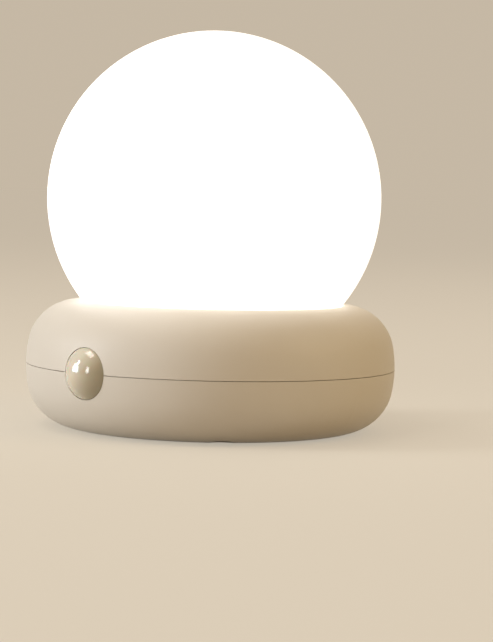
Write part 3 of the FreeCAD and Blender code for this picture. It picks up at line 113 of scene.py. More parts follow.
class Shader:
    """A node material with one Principled shader and short ways to wire it."""

    BLEND_START = 0.35
    BLEND_END = 0.65

    def __init__(self, name: str) -> None:
        """Start an empty material.

        Args:
            name: Name of the material.
        """
        self.material = bpy.data.materials.new(name)
        self.material.use_nodes = True
        self.tree = self.material.node_tree
        self.surface = self.tree.nodes["Principled BSDF"]
        self.place = self.add("ShaderNodeTexCoord")

    def add(self, kind: str, **settings: object) -> bpy.types.Node:
        """Add a node.

        Args:
            kind: Blender's identifier of the node.
            **settings: Attributes of the node.

        Returns:
            The new node.
        """
        node = self.tree.nodes.new(kind)
        for name, value in settings.items():
            setattr(node, name, value)
        return node

    def link(self, source: bpy.types.NodeSocket, target: bpy.types.NodeSocket) -> None:
        """Join two sockets."""
        self.tree.links.new(source, target)

    def fixed(self, **values: object) -> None:
        """Set constants on the Principled shader's own sockets.

        Args:
            **values: Socket names with underscores for spaces, and their values.
        """
        for name, value in values.items():
            self.surface.inputs[name.replace("_", " ")].default_value = value

    def stretched(self, scale: Triple) -> bpy.types.NodeSocket:
        """Object coordinates stretched along the axes.

        Args:
            scale: Factor along each axis.

        Returns:
            The vector socket.
        """
        mapping = self.add("ShaderNodeMapping")
        mapping.inputs["Scale"].default_value = scale
        self.link(self.place.outputs["Object"], mapping.inputs["Vector"])
        return mapping.outputs["Vector"]

    def noise(self, scale: float, detail: float = 3.0,
              vector: bpy.types.NodeSocket | None = None) -> bpy.types.NodeSocket:
        """Noise on object coordinates.

        Args:
            scale: Cells per metre.
            detail: Octaves of the noise.
            vector: Other coordinates to read.

        Returns:
            The noise's value, 0 to 1.
        """
        node = self.add("ShaderNodeTexNoise")
        node.inputs["Scale"].default_value = scale
        node.inputs["Detail"].default_value = detail
        self.link(vector or self.place.outputs["Object"], node.inputs["Vector"])
        return node.outputs["Fac"]

    def ramp(self, source: bpy.types.NodeSocket, low: Colour, high: Colour) -> bpy.types.NodeSocket:
        """Blend two colours by a value, over the middle of its range.

        Args:
            source: The value that is read.
            low: Colour where the value is low.
            high: Colour where it is high.

        Returns:
            The colour socket.
        """
        node = self.add("ShaderNodeValToRGB")
        stops = node.color_ramp.elements
        stops[0].position, stops[0].color = self.BLEND_START, low
        stops[1].position, stops[1].color = self.BLEND_END, high
        self.link(source, node.inputs["Fac"])
        return node.outputs["Color"]

    def colour(self, socket: bpy.types.NodeSocket) -> None:
        """Use a socket as the base colour."""
        self.link(socket, self.surface.inputs["Base Color"])

    def rough(self, source: bpy.types.NodeSocket, low: float, high: float) -> None:
        """Vary the roughness between two limits.

        Args:
            source: Value from 0 to 1.
            low: Roughness at 0.
            high: Roughness at 1.
        """
        node = self.add("ShaderNodeMapRange")
        node.inputs["To Min"].default_value = low
        node.inputs["To Max"].default_value = high
        self.link(source, node.inputs["Value"])
        self.link(node.outputs["Result"], self.surface.inputs["Roughness"])

    def bump(self, source: bpy.types.NodeSocket, depth: float, strength: float) -> None:
        """Raise the surface by a value.

        Args:
            source: Height from 0 to 1.
            depth: Height of a full step, in metres.
            strength: Share of the effect.
        """
        node = self.add("ShaderNodeBump")
        node.inputs["Distance"].default_value = depth
        node.inputs["Strength"].default_value = strength
        self.link(source, node.inputs["Height"])
        self.link(node.outputs["Normal"], self.surface.inputs["Normal"])


@dataclass(frozen=True)
class MouldedPlastic:
    """Moulded plastic with a fine spark-eroded grain, worn spots and faint flow marks."""

    slot: Slot
    tone: Colour
    roughness: float = 0.42
    wear: float = 0.06
    wear_scale: float = 160.0
    grain: float = 2600.0
    grain_depth: float = 0.012 * MM
    grain_share: float = 0.6
    flow_scale: float = 28.0
    flow_low: float = 0.975
    flow_high: float = 1.015
    coat: float = 0.0
    coat_roughness: float = 0.12
    shine: float = 0.36

    def make(self) -> bpy.types.Material:
        """Build the material.

        Returns:
            The finished material.
        """
        shader = Shader(self.slot.value)
        flow = shader.noise(self.flow_scale, detail=4.0)
        low, high = shaded(self.tone, self.flow_low), shaded(self.tone, self.flow_high)
        shader.colour(shader.ramp(flow, low, high))
        cells = shader.noise(self.grain, detail=2.0)
        spots = shader.noise(self.wear_scale, detail=4.0)
        shader.rough(spots, self.roughness - self.wear, self.roughness + self.wear)
        shader.bump(cells, self.grain_depth, self.grain_share)
        shader.fixed(Coat_Weight=self.coat, Coat_Roughness=self.coat_roughness,
                     Specular_IOR_Level=self.shine)
        return shader.material


@dataclass(frozen=True)
class LitDiffuser:
    """Milky wall that glows evenly from the light inside it."""

    slot: Slot
    tone: Colour
    strength: float
    cloud_scale: float = 22.0
    cloud_tone: float = 0.985
    polish_scale: float = 240.0
    smoothest: float = 0.26
    roughest: float = 0.34
    grain: float = 2200.0
    grain_depth: float = 0.006 * MM
    grain_share: float = 0.5
    shine: float = 0.4

    def make(self) -> bpy.types.Material:
        """Build the material.

        Returns:
            The finished material.
        """
        shader = Shader(self.slot.value)
        cloud = shader.noise(self.cloud_scale)
        shader.colour(shader.ramp(cloud, shaded(self.tone, self.cloud_tone), self.tone))
        shader.rough(shader.noise(self.polish_scale), self.smoothest, self.roughest)
        shader.bump(shader.noise(self.grain, detail=2.0), self.grain_depth, self.grain_share)
        shader.fixed(Emission_Color=self.tone, Emission_Strength=self.strength,
                     Specular_IOR_Level=self.shine)
        return shader.material


@dataclass(frozen=True)
class PearlLens:
    """Milky lens under a clear, polished skin, with painted shade darkening it towards its lower
    right.
    """

    slot: Slot
    tone: Colour
    # painted shade: a darker tone that fades in across the lens towards its lower right, along this
    # way and between these two distances
    painted_shade: Colour
    painted_shade_way: Triple = (0.85, 0.0, -0.52)
    painted_shade_start: float = -2.5 * MM
    painted_shade_end: float = 7.5 * MM
    cloud_scale: float = 130.0
    cloud_tone: float = 0.96
    polish_scale: float = 500.0
    smoothest: float = 0.1
    roughest: float = 0.15
    skin_roughness: float = 0.1
    skin_bend: float = 1.8
    body_bend: float = 1.6
    milk_share: float = 0.25
    milk_depth: float = 2.0 * MM

    def make(self) -> bpy.types.Material:
        """Build the material.

        Returns:
            The finished material.
        """
        shader = Shader(self.slot.value)
        cloud = shader.noise(self.cloud_scale, detail=2.0)
        # painted shade: the distance along this way across the lens decides how much of the darker
        # tone shows, so its lower right reads as shaded
        across = shader.add("ShaderNodeVectorMath", operation="DOT_PRODUCT")
        across.inputs[1].default_value = self.painted_shade_way
        shader.link(shader.place.outputs["Object"], across.inputs[0])
        # share of the painted shade at each point of the lens
        depth = shader.add("ShaderNodeMapRange", interpolation_type="SMOOTHSTEP")
        depth.inputs["From Min"].default_value = self.painted_shade_start
        depth.inputs["From Max"].default_value = self.painted_shade_end
        shader.link(across.outputs["Value"], depth.inputs["Value"])
        mix = shader.add("ShaderNodeMix", data_type="RGBA")
        shader.link(depth.outputs["Result"], mix.inputs["Factor"])
        pale = shader.ramp(cloud, shaded(self.tone, self.cloud_tone), self.tone)
        shader.link(pale, mix.inputs["A"])
        # painted shade: the darker tone of the lens's lower right
        mix.inputs["B"].default_value = self.painted_shade
        shader.colour(mix.outputs["Result"])
        shader.rough(shader.noise(self.polish_scale, detail=2.0), self.smoothest, self.roughest)
        shader.fixed(Coat_Weight=1.0, Coat_Roughness=self.skin_roughness, Coat_IOR=self.skin_bend,
                     IOR=self.body_bend, Subsurface_Weight=self.milk_share,
                     Subsurface_Scale=self.milk_depth)
        return shader.material


@dataclass(frozen=True)
class Metal:
    """Plated or bare metal with fine drawn lines and dull spots."""

    slot: Slot
    tone: Colour
    roughness: float
    along: Triple = (1.0, 0.06, 1.0)
    lines: float = 2400.0
    line_depth: float = 0.006 * MM
    line_share: float = 0.5
    polished: float = 0.08
    dulled: float = 0.12
    spot_scale: float = 90.0
    spot_tone: float = 0.88

    def make(self) -> bpy.types.Material:
        """Build the material.

        Returns:
            The finished material.
        """
        shader = Shader(self.slot.value)
        lines = shader.noise(self.lines, vector=shader.stretched(self.along))
        spots = shader.noise(self.spot_scale, detail=4.0)
        shader.colour(shader.ramp(spots, shaded(self.tone, self.spot_tone), self.tone))
        shader.rough(lines, self.roughness - self.polished, self.roughness + self.dulled)
        shader.bump(lines, self.line_depth, self.line_share)
        shader.fixed(Metallic=1.0)
        return shader.material


@dataclass(frozen=True)
class CircuitBoard:
    """Coated board: copper tracks seen as paler lines under the coat."""

    slot: Slot
    tone: Colour
    track: Colour
    pitch: float = 260.0
    track_width: float = 0.06
    track_rise: float = 0.03 * MM
    track_share: float = 0.4
    field_tone: float = 0.9
    gloss_scale: float = 300.0
    smoothest: float = 0.25
    roughest: float = 0.38
    coat: float = 0.4
    coat_roughness: float = 0.15

    def make(self) -> bpy.types.Material:
        """Build the material.

        Returns:
            The finished material.
        """
        shader = Shader(self.slot.value)
        tracks = shader.add("ShaderNodeTexBrick")
        tracks.inputs["Scale"].default_value = self.pitch
        tracks.inputs["Color1"].default_value = self.tone
        tracks.inputs["Color2"].default_value = shaded(self.tone, self.field_tone)
        tracks.inputs["Mortar"].default_value = self.track
        tracks.inputs["Mortar Size"].default_value = self.track_width
        shader.link(shader.place.outputs["Object"], tracks.inputs["Vector"])
        shader.colour(tracks.outputs["Color"])
        shader.rough(shader.noise(self.gloss_scale), self.smoothest, self.roughest)
        shader.bump(tracks.outputs["Fac"], self.track_rise, self.track_share)
        shader.fixed(Coat_Weight=self.coat, Coat_Roughness=self.coat_roughness)
        return shader.material


Finish = MouldedPlastic | LitDiffuser | PearlLens | Metal | CircuitBoard


class Palette:
    """Every finish of the light, made once and looked up by its slot."""

    FINISHES: tuple[Finish, ...] = (
        MouldedPlastic(Slot.CREAM_PLASTIC, linear(230, 224, 214), roughness=0.46),
        LitDiffuser(Slot.MILK_PLASTIC, linear(255, 254, 252), strength=0.84),
        # the lens's second tone is painted shade for its lower right
        PearlLens(Slot.PEARL_PLASTIC, linear(236, 228, 210), linear(158, 148, 116)),
        MouldedPlastic(Slot.DARK_PLASTIC, linear(38, 34, 40), 0.16, grain_depth=0.003 * MM),
        MouldedPlastic(Slot.BLACK_PLASTIC, linear(34, 34, 36), roughness=0.5),
        MouldedPlastic(Slot.WHITE_PLASTIC, linear(232, 229, 222), roughness=0.38),
        CircuitBoard(Slot.BOARD_GREEN, linear(34, 96, 58), linear(66, 138, 86)),
        CircuitBoard(Slot.BOARD_WHITE, linear(236, 236, 232), linear(214, 214, 208), pitch=180.0),
        MouldedPlastic(Slot.PHOSPHOR, linear(236, 206, 92), roughness=0.3, grain=5200.0),
        MouldedPlastic(Slot.FILM_YELLOW, linear(214, 168, 52), roughness=0.22, coat=0.5),
        MouldedPlastic(Slot.SLEEVE_DARK, linear(34, 38, 74), roughness=0.24, coat=0.3),
        MouldedPlastic(Slot.RESISTOR_BLUE, linear(112, 156, 182), roughness=0.3, coat=0.4),
        Metal(Slot.STEEL, linear(198, 198, 196), roughness=0.3),
        Metal(Slot.BRASS_NICKEL, linear(214, 206, 182), roughness=0.24, along=(1.0, 0.04, 1.0)),
        MouldedPlastic(Slot.PHENOLIC, linear(128, 82, 48), roughness=0.5, grain=900.0),
        MouldedPlastic(Slot.RED_WIRE, linear(170, 34, 30), roughness=0.36),
        MouldedPlastic(Slot.BLUE_WIRE, linear(34, 66, 150), roughness=0.36),
        MouldedPlastic(Slot.WHITE_WIRE, linear(226, 226, 222), roughness=0.36),
    )

    def __init__(self) -> None:
        """Make the materials."""
        self.materials = {finish.slot: finish.make() for finish in self.FINISHES}

    def dress(self, piece: bpy.types.Object, slot: Slot) -> None:
        """Give a piece one finish all over.

        Args:
            piece: The mesh that is dressed.
            slot: The record's material slot.
        """
        piece.data.materials.clear()
        piece.data.materials.append(self.materials[slot])

    def dress_frame(self) -> None:
        """Dress every node of the frame with the finish of its slot."""
        for entry in frame["record"]["subparts"]:
            self.dress(frame["nodes"][entry["node"]], Slot(entry["material_slot"]))


@dataclass(frozen=True)
class Base:
    """Places on the base that the pieces modelled here seat on."""

    half_height: float = 15.5 * MM
    axis_y: float = -42.0 * MM
    deck_level: float = 9.5 * MM


BASE = Base()


class Bench:
    """Modelling steps that the sub-assemblies share."""

    @staticmethod
    def clear() -> None:
        """Leave edit mode and deselect everything."""
        active = bpy.context.object
        if active is not None and active.mode != "OBJECT":
            bpy.ops.object.mode_set(mode="OBJECT")
        bpy.ops.object.select_all(action="DESELECT")

    @staticmethod
    def pick(piece: bpy.types.Object) -> None:
        """Make one object the only selected and active one."""
        Bench.clear()
        piece.select_set(True)
        bpy.context.view_layer.objects.active = piece

    @staticmethod
    def fix_place(piece: bpy.types.Object) -> None:
        """Put an object's place, turn and size into its mesh."""
        Bench.pick(piece)
        bpy.ops.object.transform_apply(location=True, rotation=True, scale=True)

    @staticmethod
    def block(size: Triple, place: Triple) -> bpy.types.Object:
        """A box to shape further.

        Args:
            size: Its three sizes.
            place: Its centre.

        Returns:
            The box, its size and place in its mesh.
        """
        Bench.clear()
        bpy.ops.mesh.primitive_cube_add(size=1, location=place)
        block = bpy.context.object
        block.scale = size
        Bench.fix_place(block)
        return block

    @staticmethod
    def turned(name: str, profile: list[tuple[float, float]], segments: int) -> bpy.types.Object:
        """Turn an open profile about Z by extruding and resizing a circle ring by ring.

        Args:
            name: Name of the piece.
            profile: Radius and level of each ring; a last radius of zero closes the top.
            segments: Points of each ring.

        Returns:
            The turned piece, in object mode.
        """
        Bench.clear()
        radius, level = profile[0]
        bpy.ops.mesh.primitive_circle_add(vertices=segments, radius=radius, location=(0, 0, level))
        piece = bpy.context.object
        piece.name = name
        bpy.ops.object.mode_set(mode="EDIT")
        bpy.ops.mesh.select_all(action="SELECT")
        for next_radius, next_level in profile[1:]:
            rise = (0, 0, next_level - level)
            bpy.ops.mesh.extrude_edges_move(TRANSFORM_OT_translate={"value": rise})
            if next_radius == 0:
                bpy.ops.mesh.merge(type="CENTER")
                break
            share = next_radius / radius
            bpy.ops.transform.resize(value=(share, share, 1), center_override=(0, 0, next_level))
            radius, level = next_radius, next_level
        bpy.ops.mesh.select_all(action="SELECT")
        bpy.ops.mesh.normals_make_consistent(inside=False)
        bpy.ops.object.mode_set(mode="OBJECT")
        return piece

    @staticmethod
    def select_faces(piece: bpy.types.Object,
                     wanted: Callable[[bpy.types.MeshPolygon], bool]) -> None:
        """Select the faces that a test picks, ready for an edit-mode step.

        Args:
            piece: The object to work on.
            wanted: Test of one face.
        """
        Bench.pick(piece)
        bpy.ops.object.mode_set(mode="EDIT")
        bpy.ops.mesh.select_mode(type="FACE")
        bpy.ops.mesh.select_all(action="DESELECT")
        bpy.ops.object.mode_set(mode="OBJECT")
        for face in piece.data.polygons:
            face.select = wanted(face)
        bpy.ops.object.mode_set(mode="EDIT")

    @staticmethod
    def modify(piece: bpy.types.Object, kind: str, **settings: object) -> None:
        """Add a modifier and apply it.

        Args:
            piece: The object to work on.
            kind: Blender's identifier of the modifier.
            **settings: Attributes of the modifier.
        """
        Bench.pick(piece)
        modifier = piece.modifiers.new(kind.lower(), kind)
        for name, value in settings.items():
            setattr(modifier, name, value)
        bpy.ops.object.modifier_apply(modifier=modifier.name)

    @staticmethod
    def settle(piece: bpy.types.Object, sharp: float) -> None:
        """Put an object's place into its mesh and shade it.

        Args:
            piece: The object to finish.
            sharp: Angle in degrees past which an edge stays sharp.
        """
        Bench.fix_place(piece)
        bpy.ops.object.shade_smooth_by_angle(angle=math.radians(sharp))

    @staticmethod
    def joined(name: str, pieces: list[bpy.types.Object]) -> bpy.types.Object:
        """Join several objects into one.

        Args:
            name: Name of the result.
            pieces: The objects, the first of which keeps its materials' order.

        Returns:
            The joined object.
        """
        Bench.pick(pieces[0])
        for piece in pieces:
            piece.select_set(True)
        bpy.ops.object.join()
        result = bpy.context.object
        result.name = name
        return result

    @staticmethod
    def declare(piece: bpy.types.Object, slot: Slot, *nodes: str) -> None:
        """Attach a piece to the housing's body and hide the nodes that it replaces.

        Args:
            piece: The finished piece.
            slot: The record's material slot; not used.
            *nodes: Nodes that it replaces.
        """
        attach(piece, HOUSING)
        if nodes:
            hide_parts(*nodes)
        log.info("%s: %d faces", piece.name, len(piece.data.polygons))


@dataclass
class Globe:
    """Smooth blown globe on a straight neck, with the three snap tabs of its foot."""

    radius: float = 41.05 * MM
    wall: float = 1.6 * MM
    neck_radius: float = 32.0 * MM
    neck_step: float = 2.0 * MM
    join_radius: float = 32.2 * MM
    rings: int = 72
    segments: int = 160
    foot_lift: float = 0.02 * MM
    tab_width: float = 8.0 * MM
    tab_depth: float = 3.5 * MM
    tab_inset: float = 0.1 * MM
    tab_round: float = 0.15 * MM
    tab_angles: tuple[int, ...] = (30, 150, 270)
    hook: float = 0.7 * MM
    hook_height: float = 1.4 * MM
    hook_taper: float = 0.5
    sharp: float = 35.0

    def centre(self) -> float:
        """Height of the ball's centre."""
        return BASE.half_height + math.sqrt(self.radius ** 2 - self.join_radius ** 2)

    def profile(self) -> list[tuple[float, float]]:
        """Rings of the outside, from the foot to the top.

        Returns:
            Radius and level of each ring.
        """
        foot = BASE.deck_level + self.foot_lift
        low = -math.acos(self.neck_radius / self.radius)
        rings = [(self.neck_radius, foot), (self.neck_radius, foot + self.neck_step)]
        for number in range(self.rings):
            turn = low + (math.pi / 2 - low) * number / self.rings
            level = self.centre() + self.radius * math.sin(turn)
            rings.append((self.radius * math.cos(turn), level))
        return rings + [(0, self.centre() + self.radius)]

    def tab(self, angle: int) -> bpy.types.Object:
        """One snap tab: a bar whose lower end swells into a hook.

        Args:
            angle: Its angle about the lamp's axis, in degrees.

        Returns:
            The tab, on the neck.
        """
        middle = self.neck_radius - self.tab_inset - self.wall / 2
        bar = self.tab_depth - self.hook_height
        level = BASE.deck_level - bar / 2 + self.foot_lift
        tab = Bench.block((self.wall, self.tab_width, bar), (middle, 0, level))
        Bench.select_faces(tab, lambda face: face.normal.z < -FACING)
        # the lower end swells outwards to the hook, then tapers back below it
        out, back = (self.hook / 2, 0, 0), (-self.hook, 0, -self.hook_height)
        bpy.ops.mesh.extrude_region_move(TRANSFORM_OT_translate={"value": out})
        bpy.ops.transform.resize(value=(1 + self.hook / self.wall, 1, 1))
        bpy.ops.mesh.extrude_region_move(TRANSFORM_OT_translate={"value": back})
        bpy.ops.transform.resize(value=(self.hook_taper, 1, 1))
        bpy.ops.object.mode_set(mode="OBJECT")
        Bench.modify(tab, "BEVEL", width=self.tab_round, segments=2)
        tab.rotation_euler = (0, 0, math.radians(angle))
        return tab

    def build(self) -> bpy.types.Object:
        """Model the globe.

        Returns:
            The finished globe.
        """
        ball = Bench.turned("globe_ball", self.profile(), self.segments)
        Bench.modify(ball, "SOLIDIFY", thickness=self.wall, offset=-1.0)
        globe = Bench.joined("milk_globe", [ball] + [self.tab(angle) for angle in self.tab_angles])
        globe.location.y += BASE.axis_y
        Bench.settle(globe, self.sharp)
        return globe


@dataclass
class SensorLens:
    """Milky dome over the motion sensor, with its clamped flange."""

    radius: float = 6.05 * MM
    reach: float = 44.8 * MM
    dome: float = 3.38 * MM
    wall: float = 1.0 * MM
    flange_radius: float = 8.0 * MM
    flange_face: float = 39.9 * MM
    flange_back: float = 38.7 * MM
    edge_round: float = 0.35 * MM
    rings: int = 28
    segments: int = 128
    sharp: float = 35.0

    def profile(self) -> list[tuple[float, float]]:
        """Rings from the back of the flange to the top of the dome.

        Returns:
            Radius and distance from the lamp's axis of each ring.
        """
        rings = [(self.flange_radius, self.flange_back), (self.flange_radius, self.flange_face),
                 (self.radius, self.flange_face), (self.radius, self.reach - self.edge_round)]
        bend = (self.radius ** 2 + self.dome ** 2) / (2 * self.dome)
        centre = self.reach + self.dome - bend
        start = math.asin(self.radius / bend)
        for number in range(self.rings):
            turn = start * (1 - number / self.rings)
            rings.append((bend * math.sin(turn), centre + bend * math.cos(turn)))
        return rings + [(0, self.reach + self.dome)]

    def build(self) -> bpy.types.Object:
        """Model the lens.

        Returns:
            The finished lens.
        """
        lens = Bench.turned("pearl_lens", self.profile(), self.segments)
        Bench.modify(lens, "SOLIDIFY", thickness=self.wall, offset=-1.0)
        lens.rotation_euler = (math.pi / 2, 0, 0)
        lens.location = (0, BASE.axis_y - lens.location.z, 0)
        Bench.settle(lens, self.sharp)
        return lens


@dataclass
class PlugBlock:
    """Insulating block of the blades, with a locating flange, a sunk face and collars."""

    width: float = 26.0 * MM
    height: float = 14.0 * MM
    depth: float = 8.5 * MM
    corner: float = 1.1 * MM
    corner_steps: int = 5
    edge: float = 0.25 * MM
    flange: Triple = (30.0 * MM, 1.6 * MM, 18.0 * MM)
    flange_set: float = 4.0 * MM
    face_border: float = 0.8 * MM
    face_sink: float = 0.4 * MM
    face_slope: float = 0.1 * MM
    blade_spacing: float = 12.7 * MM
    collar: Triple = (3.4 * MM, 0.36 * MM, 8.4 * MM)
    collar_corner: float = 0.8 * MM
    collar_edge: float = 0.12 * MM
    collar_set: float = 0.01 * MM
    sharp: float = 30.0

    def bar(self, size: Triple, place: Triple, corner: float) -> bpy.types.Object:
        """A block whose four edges along Y are rounded.

        Args:
            size: Its three sizes.
            place: Its centre.
            corner: Radius of the rounded edges.

        Returns:
            The block.
        """
        bar = Bench.block(size, place)
        bpy.ops.object.mode_set(mode="EDIT")
        bpy.ops.mesh.select_mode(type="EDGE")
        bpy.ops.mesh.select_all(action="DESELECT")
        bpy.ops.object.mode_set(mode="OBJECT")
        points = bar.data.vertices
        for side in bar.data.edges:
            way = points[side.vertices[1]].co - points[side.vertices[0]].co
            side.select = abs(way.y) > FACING * way.length
        bpy.ops.object.mode_set(mode="EDIT")
        bpy.ops.mesh.bevel(offset=corner, segments=self.corner_steps)
        bpy.ops.object.mode_set(mode="OBJECT")
        return bar

    def body(self) -> bpy.types.Object:
        """The block itself, its outer face sunk inside a border.

        Returns:
            The block.
        """
        size = (self.width, self.depth, self.height)
        body = self.bar(size, (0, -self.depth / 2, 0), self.corner)
        Bench.select_faces(body, lambda face: face.normal.y > FACING)
        # a narrow rim, the border, and the face that is sunk inside it
        bpy.ops.mesh.inset(thickness=self.edge, depth=0)
        bpy.ops.mesh.inset(thickness=self.face_border - self.edge, depth=0)
        bpy.ops.mesh.inset(thickness=self.face_slope, depth=-self.face_sink)
        bpy.ops.object.mode_set(mode="OBJECT")
        return body

    def blade_collar(self, side: int) -> bpy.types.Object:
        """The low collar round the foot of one blade.

        Args:
            side: 1 for the blade on the right, -1 for the left.

        Returns:
            The collar.
        """
        level = -self.face_sink + self.collar[1] / 2 - self.collar_set
        middle = (self.blade_spacing / 2 * side, level, 0)
        collar = self.bar(self.collar, middle, self.collar_corner)
        Bench.modify(collar, "BEVEL", width=self.collar_edge, segments=2, limit_method="ANGLE")
        return collar

    def build(self) -> bpy.types.Object:
        """Model the block.

        Returns:
            The finished block, its outer face on the wall.
        """
        body = self.body()
        middle = (0, -self.flange_set - self.flange[1] / 2, 0)
        flange = self.bar(self.flange, middle, self.corner)
        collars = [self.blade_collar(side) for side in (-1, 1)]
        plug = Bench.joined("plug_moulding", [body, flange, *collars])
        Bench.settle(plug, self.sharp)
        return plug


@dataclass
class LightRing:
    """Twelve light-emitting chips, each a white tray with a phosphor pillow."""

    count: int = 12
    circle: float = 17.5 * MM
    length: float = 3.5 * MM
    width: float = 2.8 * MM
    height: float = 0.7 * MM
    board: float = 1.2 * MM
    edge: float = 0.08 * MM
    border: float = 0.4 * MM
    sink: float = 0.22 * MM
    pillow_insets: tuple[float, ...] = (0.2 * MM, 0.35 * MM)
    pillow_rises: tuple[float, ...] = (0.072 * MM, 0.048 * MM)
    top_depth: float = 0.01 * MM
    top_area: float = MM ** 2
    sharp: float = 30.0

    def is_top(self, face: bpy.types.MeshPolygon) -> bool:
        """Whether a face of a chip is its large upper one."""
        flat = face.normal.z > FACING and face.center.z > self.height - self.top_depth
        return flat and face.area > self.top_area

    def chip(self, palette: Palette) -> bpy.types.Object:
        """Model one chip about the origin.

        Args:
            palette: The finishes.

        Returns:
            The chip, standing on z = 0.
        """
        chip = Bench.block((self.width, self.length, self.height), (0, 0, self.height / 2))
        Bench.modify(chip, "BEVEL", width=self.edge, segments=2)
        chip.data.materials.append(palette.materials[Slot.WHITE_PLASTIC])
        chip.data.materials.append(palette.materials[Slot.PHOSPHOR])
        Bench.select_faces(chip, self.is_top)
        bpy.ops.mesh.inset(thickness=self.border, depth=0)
        bpy.ops.mesh.extrude_region_move(TRANSFORM_OT_translate={"value": (0, 0, -self.sink)})
        chip.active_material_index = 1
        bpy.ops.object.material_slot_assign()
        # the pillow rises in two low steps from the floor of the tray
        for inward, rise in zip(self.pillow_insets, self.pillow_rises):
            bpy.ops.mesh.inset(thickness=inward, depth=rise)
        bpy.ops.object.mode_set(mode="OBJECT")
        return chip

    def build(self, palette: Palette) -> bpy.types.Object:
        """Model the ring of chips.

        Args:
            palette: The finishes.

        Returns:
            All chips as one piece.
        """
        first = self.chip(palette)
        level = BASE.deck_level + self.board
        chips = []
        for number in range(self.count):
            chip = first.copy()
            chip.data = first.data.copy()
            bpy.context.scene.collection.objects.link(chip)
            turn = (number + 0.5) * math.tau / self.count
            x, y = self.circle * math.cos(turn), self.circle * math.sin(turn)
            chip.rotation_euler = (0, 0, turn)
            chip.location = (x, y + BASE.axis_y, level)
            Bench.fix_place(chip)
            chips.append(chip)
        bpy.data.objects.remove(first, do_unlink=True)
        ring = Bench.joined("light_chips", chips)
        Bench.settle(ring, self.sharp)
        return ring


@dataclass
class SwitchMarks:
    """Small raised words for the two end places of the slide switch."""

    level: float = -14.3 * MM
    switch_y: float = -21.0 * MM
    offset: float = 6.35 * MM
    letter: float = 1.9 * MM
    rise: float = 0.12 * MM
    stroke_gain: float = 0.02 * MM
    words: tuple[tuple[str, int], ...] = (("ON", 1), ("OFF", -1))
    sharp: float = 30.0

    def word(self, text: str, side: int) -> bpy.types.Object:
        """One word on the recess floor, read from below.

        Args:
            text: The word.
            side: 1 for the right end of the travel, -1 for the left.

        Returns:
            The word as a mesh.
        """
        Bench.clear()
        bpy.ops.object.text_add()
        word = bpy.context.object
        word.data.body = text
        word.data.size = self.letter
        word.data.align_x = "CENTER"
        word.data.align_y = "CENTER"
        word.data.extrude = self.rise
        word.data.offset = self.stroke_gain
        Bench.pick(word)
        bpy.ops.object.convert(target="MESH")
        word = bpy.context.object
        word.rotation_euler = (math.pi, 0, math.pi / 2 * side)
        word.location = (self.offset * side, BASE.axis_y + self.switch_y, self.level)
        return word

    def build(self) -> bpy.types.Object:
        """Model both words.

        Returns:
            The words as one piece.
        """
        words = [self.word(text, side) for text, side in self.words]
        marks = Bench.joined("switch_marks", words)
        Bench.settle(marks, self.sharp)
        return marks


@dataclass(frozen=True)
class Lamp:
    """A rectangular area lamp that looks at the light.

    The power is in watts. The azimuth is measured from the front, positive to the right, the
    elevation from the seam, and the spread is how wide the beam fans out, all in degrees.
    """

    name: str
    power: float
    width: float
    height: float
    azimuth: float
    elevation: float
    distance: float
    colour: Triple
    spread: float = 180

    def hang(self, target: Vector) -> None:
        """Add the lamp to the scene.

        Args:
            target: The point that it looks at.
        """
        data = bpy.data.lights.new(self.name, "AREA")
        data.spread = math.radians(self.spread)
        data.shape = "RECTANGLE"
        data.size, data.size_y = self.width, self.height
        data.energy, data.color = self.power, self.colour
        item = bpy.data.objects.new(self.name, data)
        bpy.context.scene.collection.objects.link(item)
        turn, rise = math.radians(self.azimuth), math.radians(self.elevation)
        way = Vector((math.sin(turn) * math.cos(rise), -math.cos(turn) * math.cos(rise),
                      math.sin(rise)))
        item.location = target + way * self.distance
        item.rotation_euler = way.to_track_quat("Z", "Y").to_euler()


@dataclass(frozen=True)
class PhotoCamera:
    """The camera as it was fitted to the photograph, aimed by three small turns."""

    focal_px: float = 2053.0
    image_height_px: float = 642.0
    sensor: float = 36.0
    distance: float = 508.97 * MM
    azimuth: float = math.radians(40.25)
    elevation: float = math.radians(4.83)
    pitch: float = math.radians(3.6)
    turn: float = math.radians(0.975)
    roll: float = math.radians(1.41)

    def axes(self, away: Vector, right: Vector, up: Vector) -> Matrix:
        """Turn the level view by its turn, pitch and roll.

        Args:
            away: Level direction from the lamp to the camera.
            right: Level direction to the right of the picture.
            up: The upward direction.

        Returns:
            The camera's axes as columns.
        """
        level = -away * math.cos(self.turn) + right * math.sin(self.turn)
        side = right * math.cos(self.turn) + away * math.sin(self.turn)
        forward = level * math.cos(self.pitch) - up * math.sin(self.pitch)
        top = side.cross(forward)
        rolled_side = side * math.cos(self.roll) + top * math.sin(self.roll)
        rolled_top = top * math.cos(self.roll) - side * math.sin(self.roll)
        return Matrix((rolled_side, rolled_top, -forward)).transposed()

    def place(self) -> None:
        """Put the camera at the photograph's place."""
        data = bpy.data.cameras.new("camera")
        data.sensor_width = self.sensor
        data.lens = self.focal_px * self.sensor / self.image_height_px
        camera = bpy.data.objects.new("camera", data)
        bpy.context.scene.collection.objects.link(camera)
        away = Vector((math.sin(self.azimuth), -math.cos(self.azimuth), 0))
        right = Vector((math.cos(self.azimuth), math.sin(self.azimuth), 0))
        up = Vector((0, 0, 1))
        reach = away * math.cos(self.elevation) + up * math.sin(self.elevation)
        camera.location = Vector((0, BASE.axis_y, 0)) + reach * self.distance
        camera.rotation_euler = self.axes(away, right, up).to_euler()
        bpy.context.scene.camera = camera


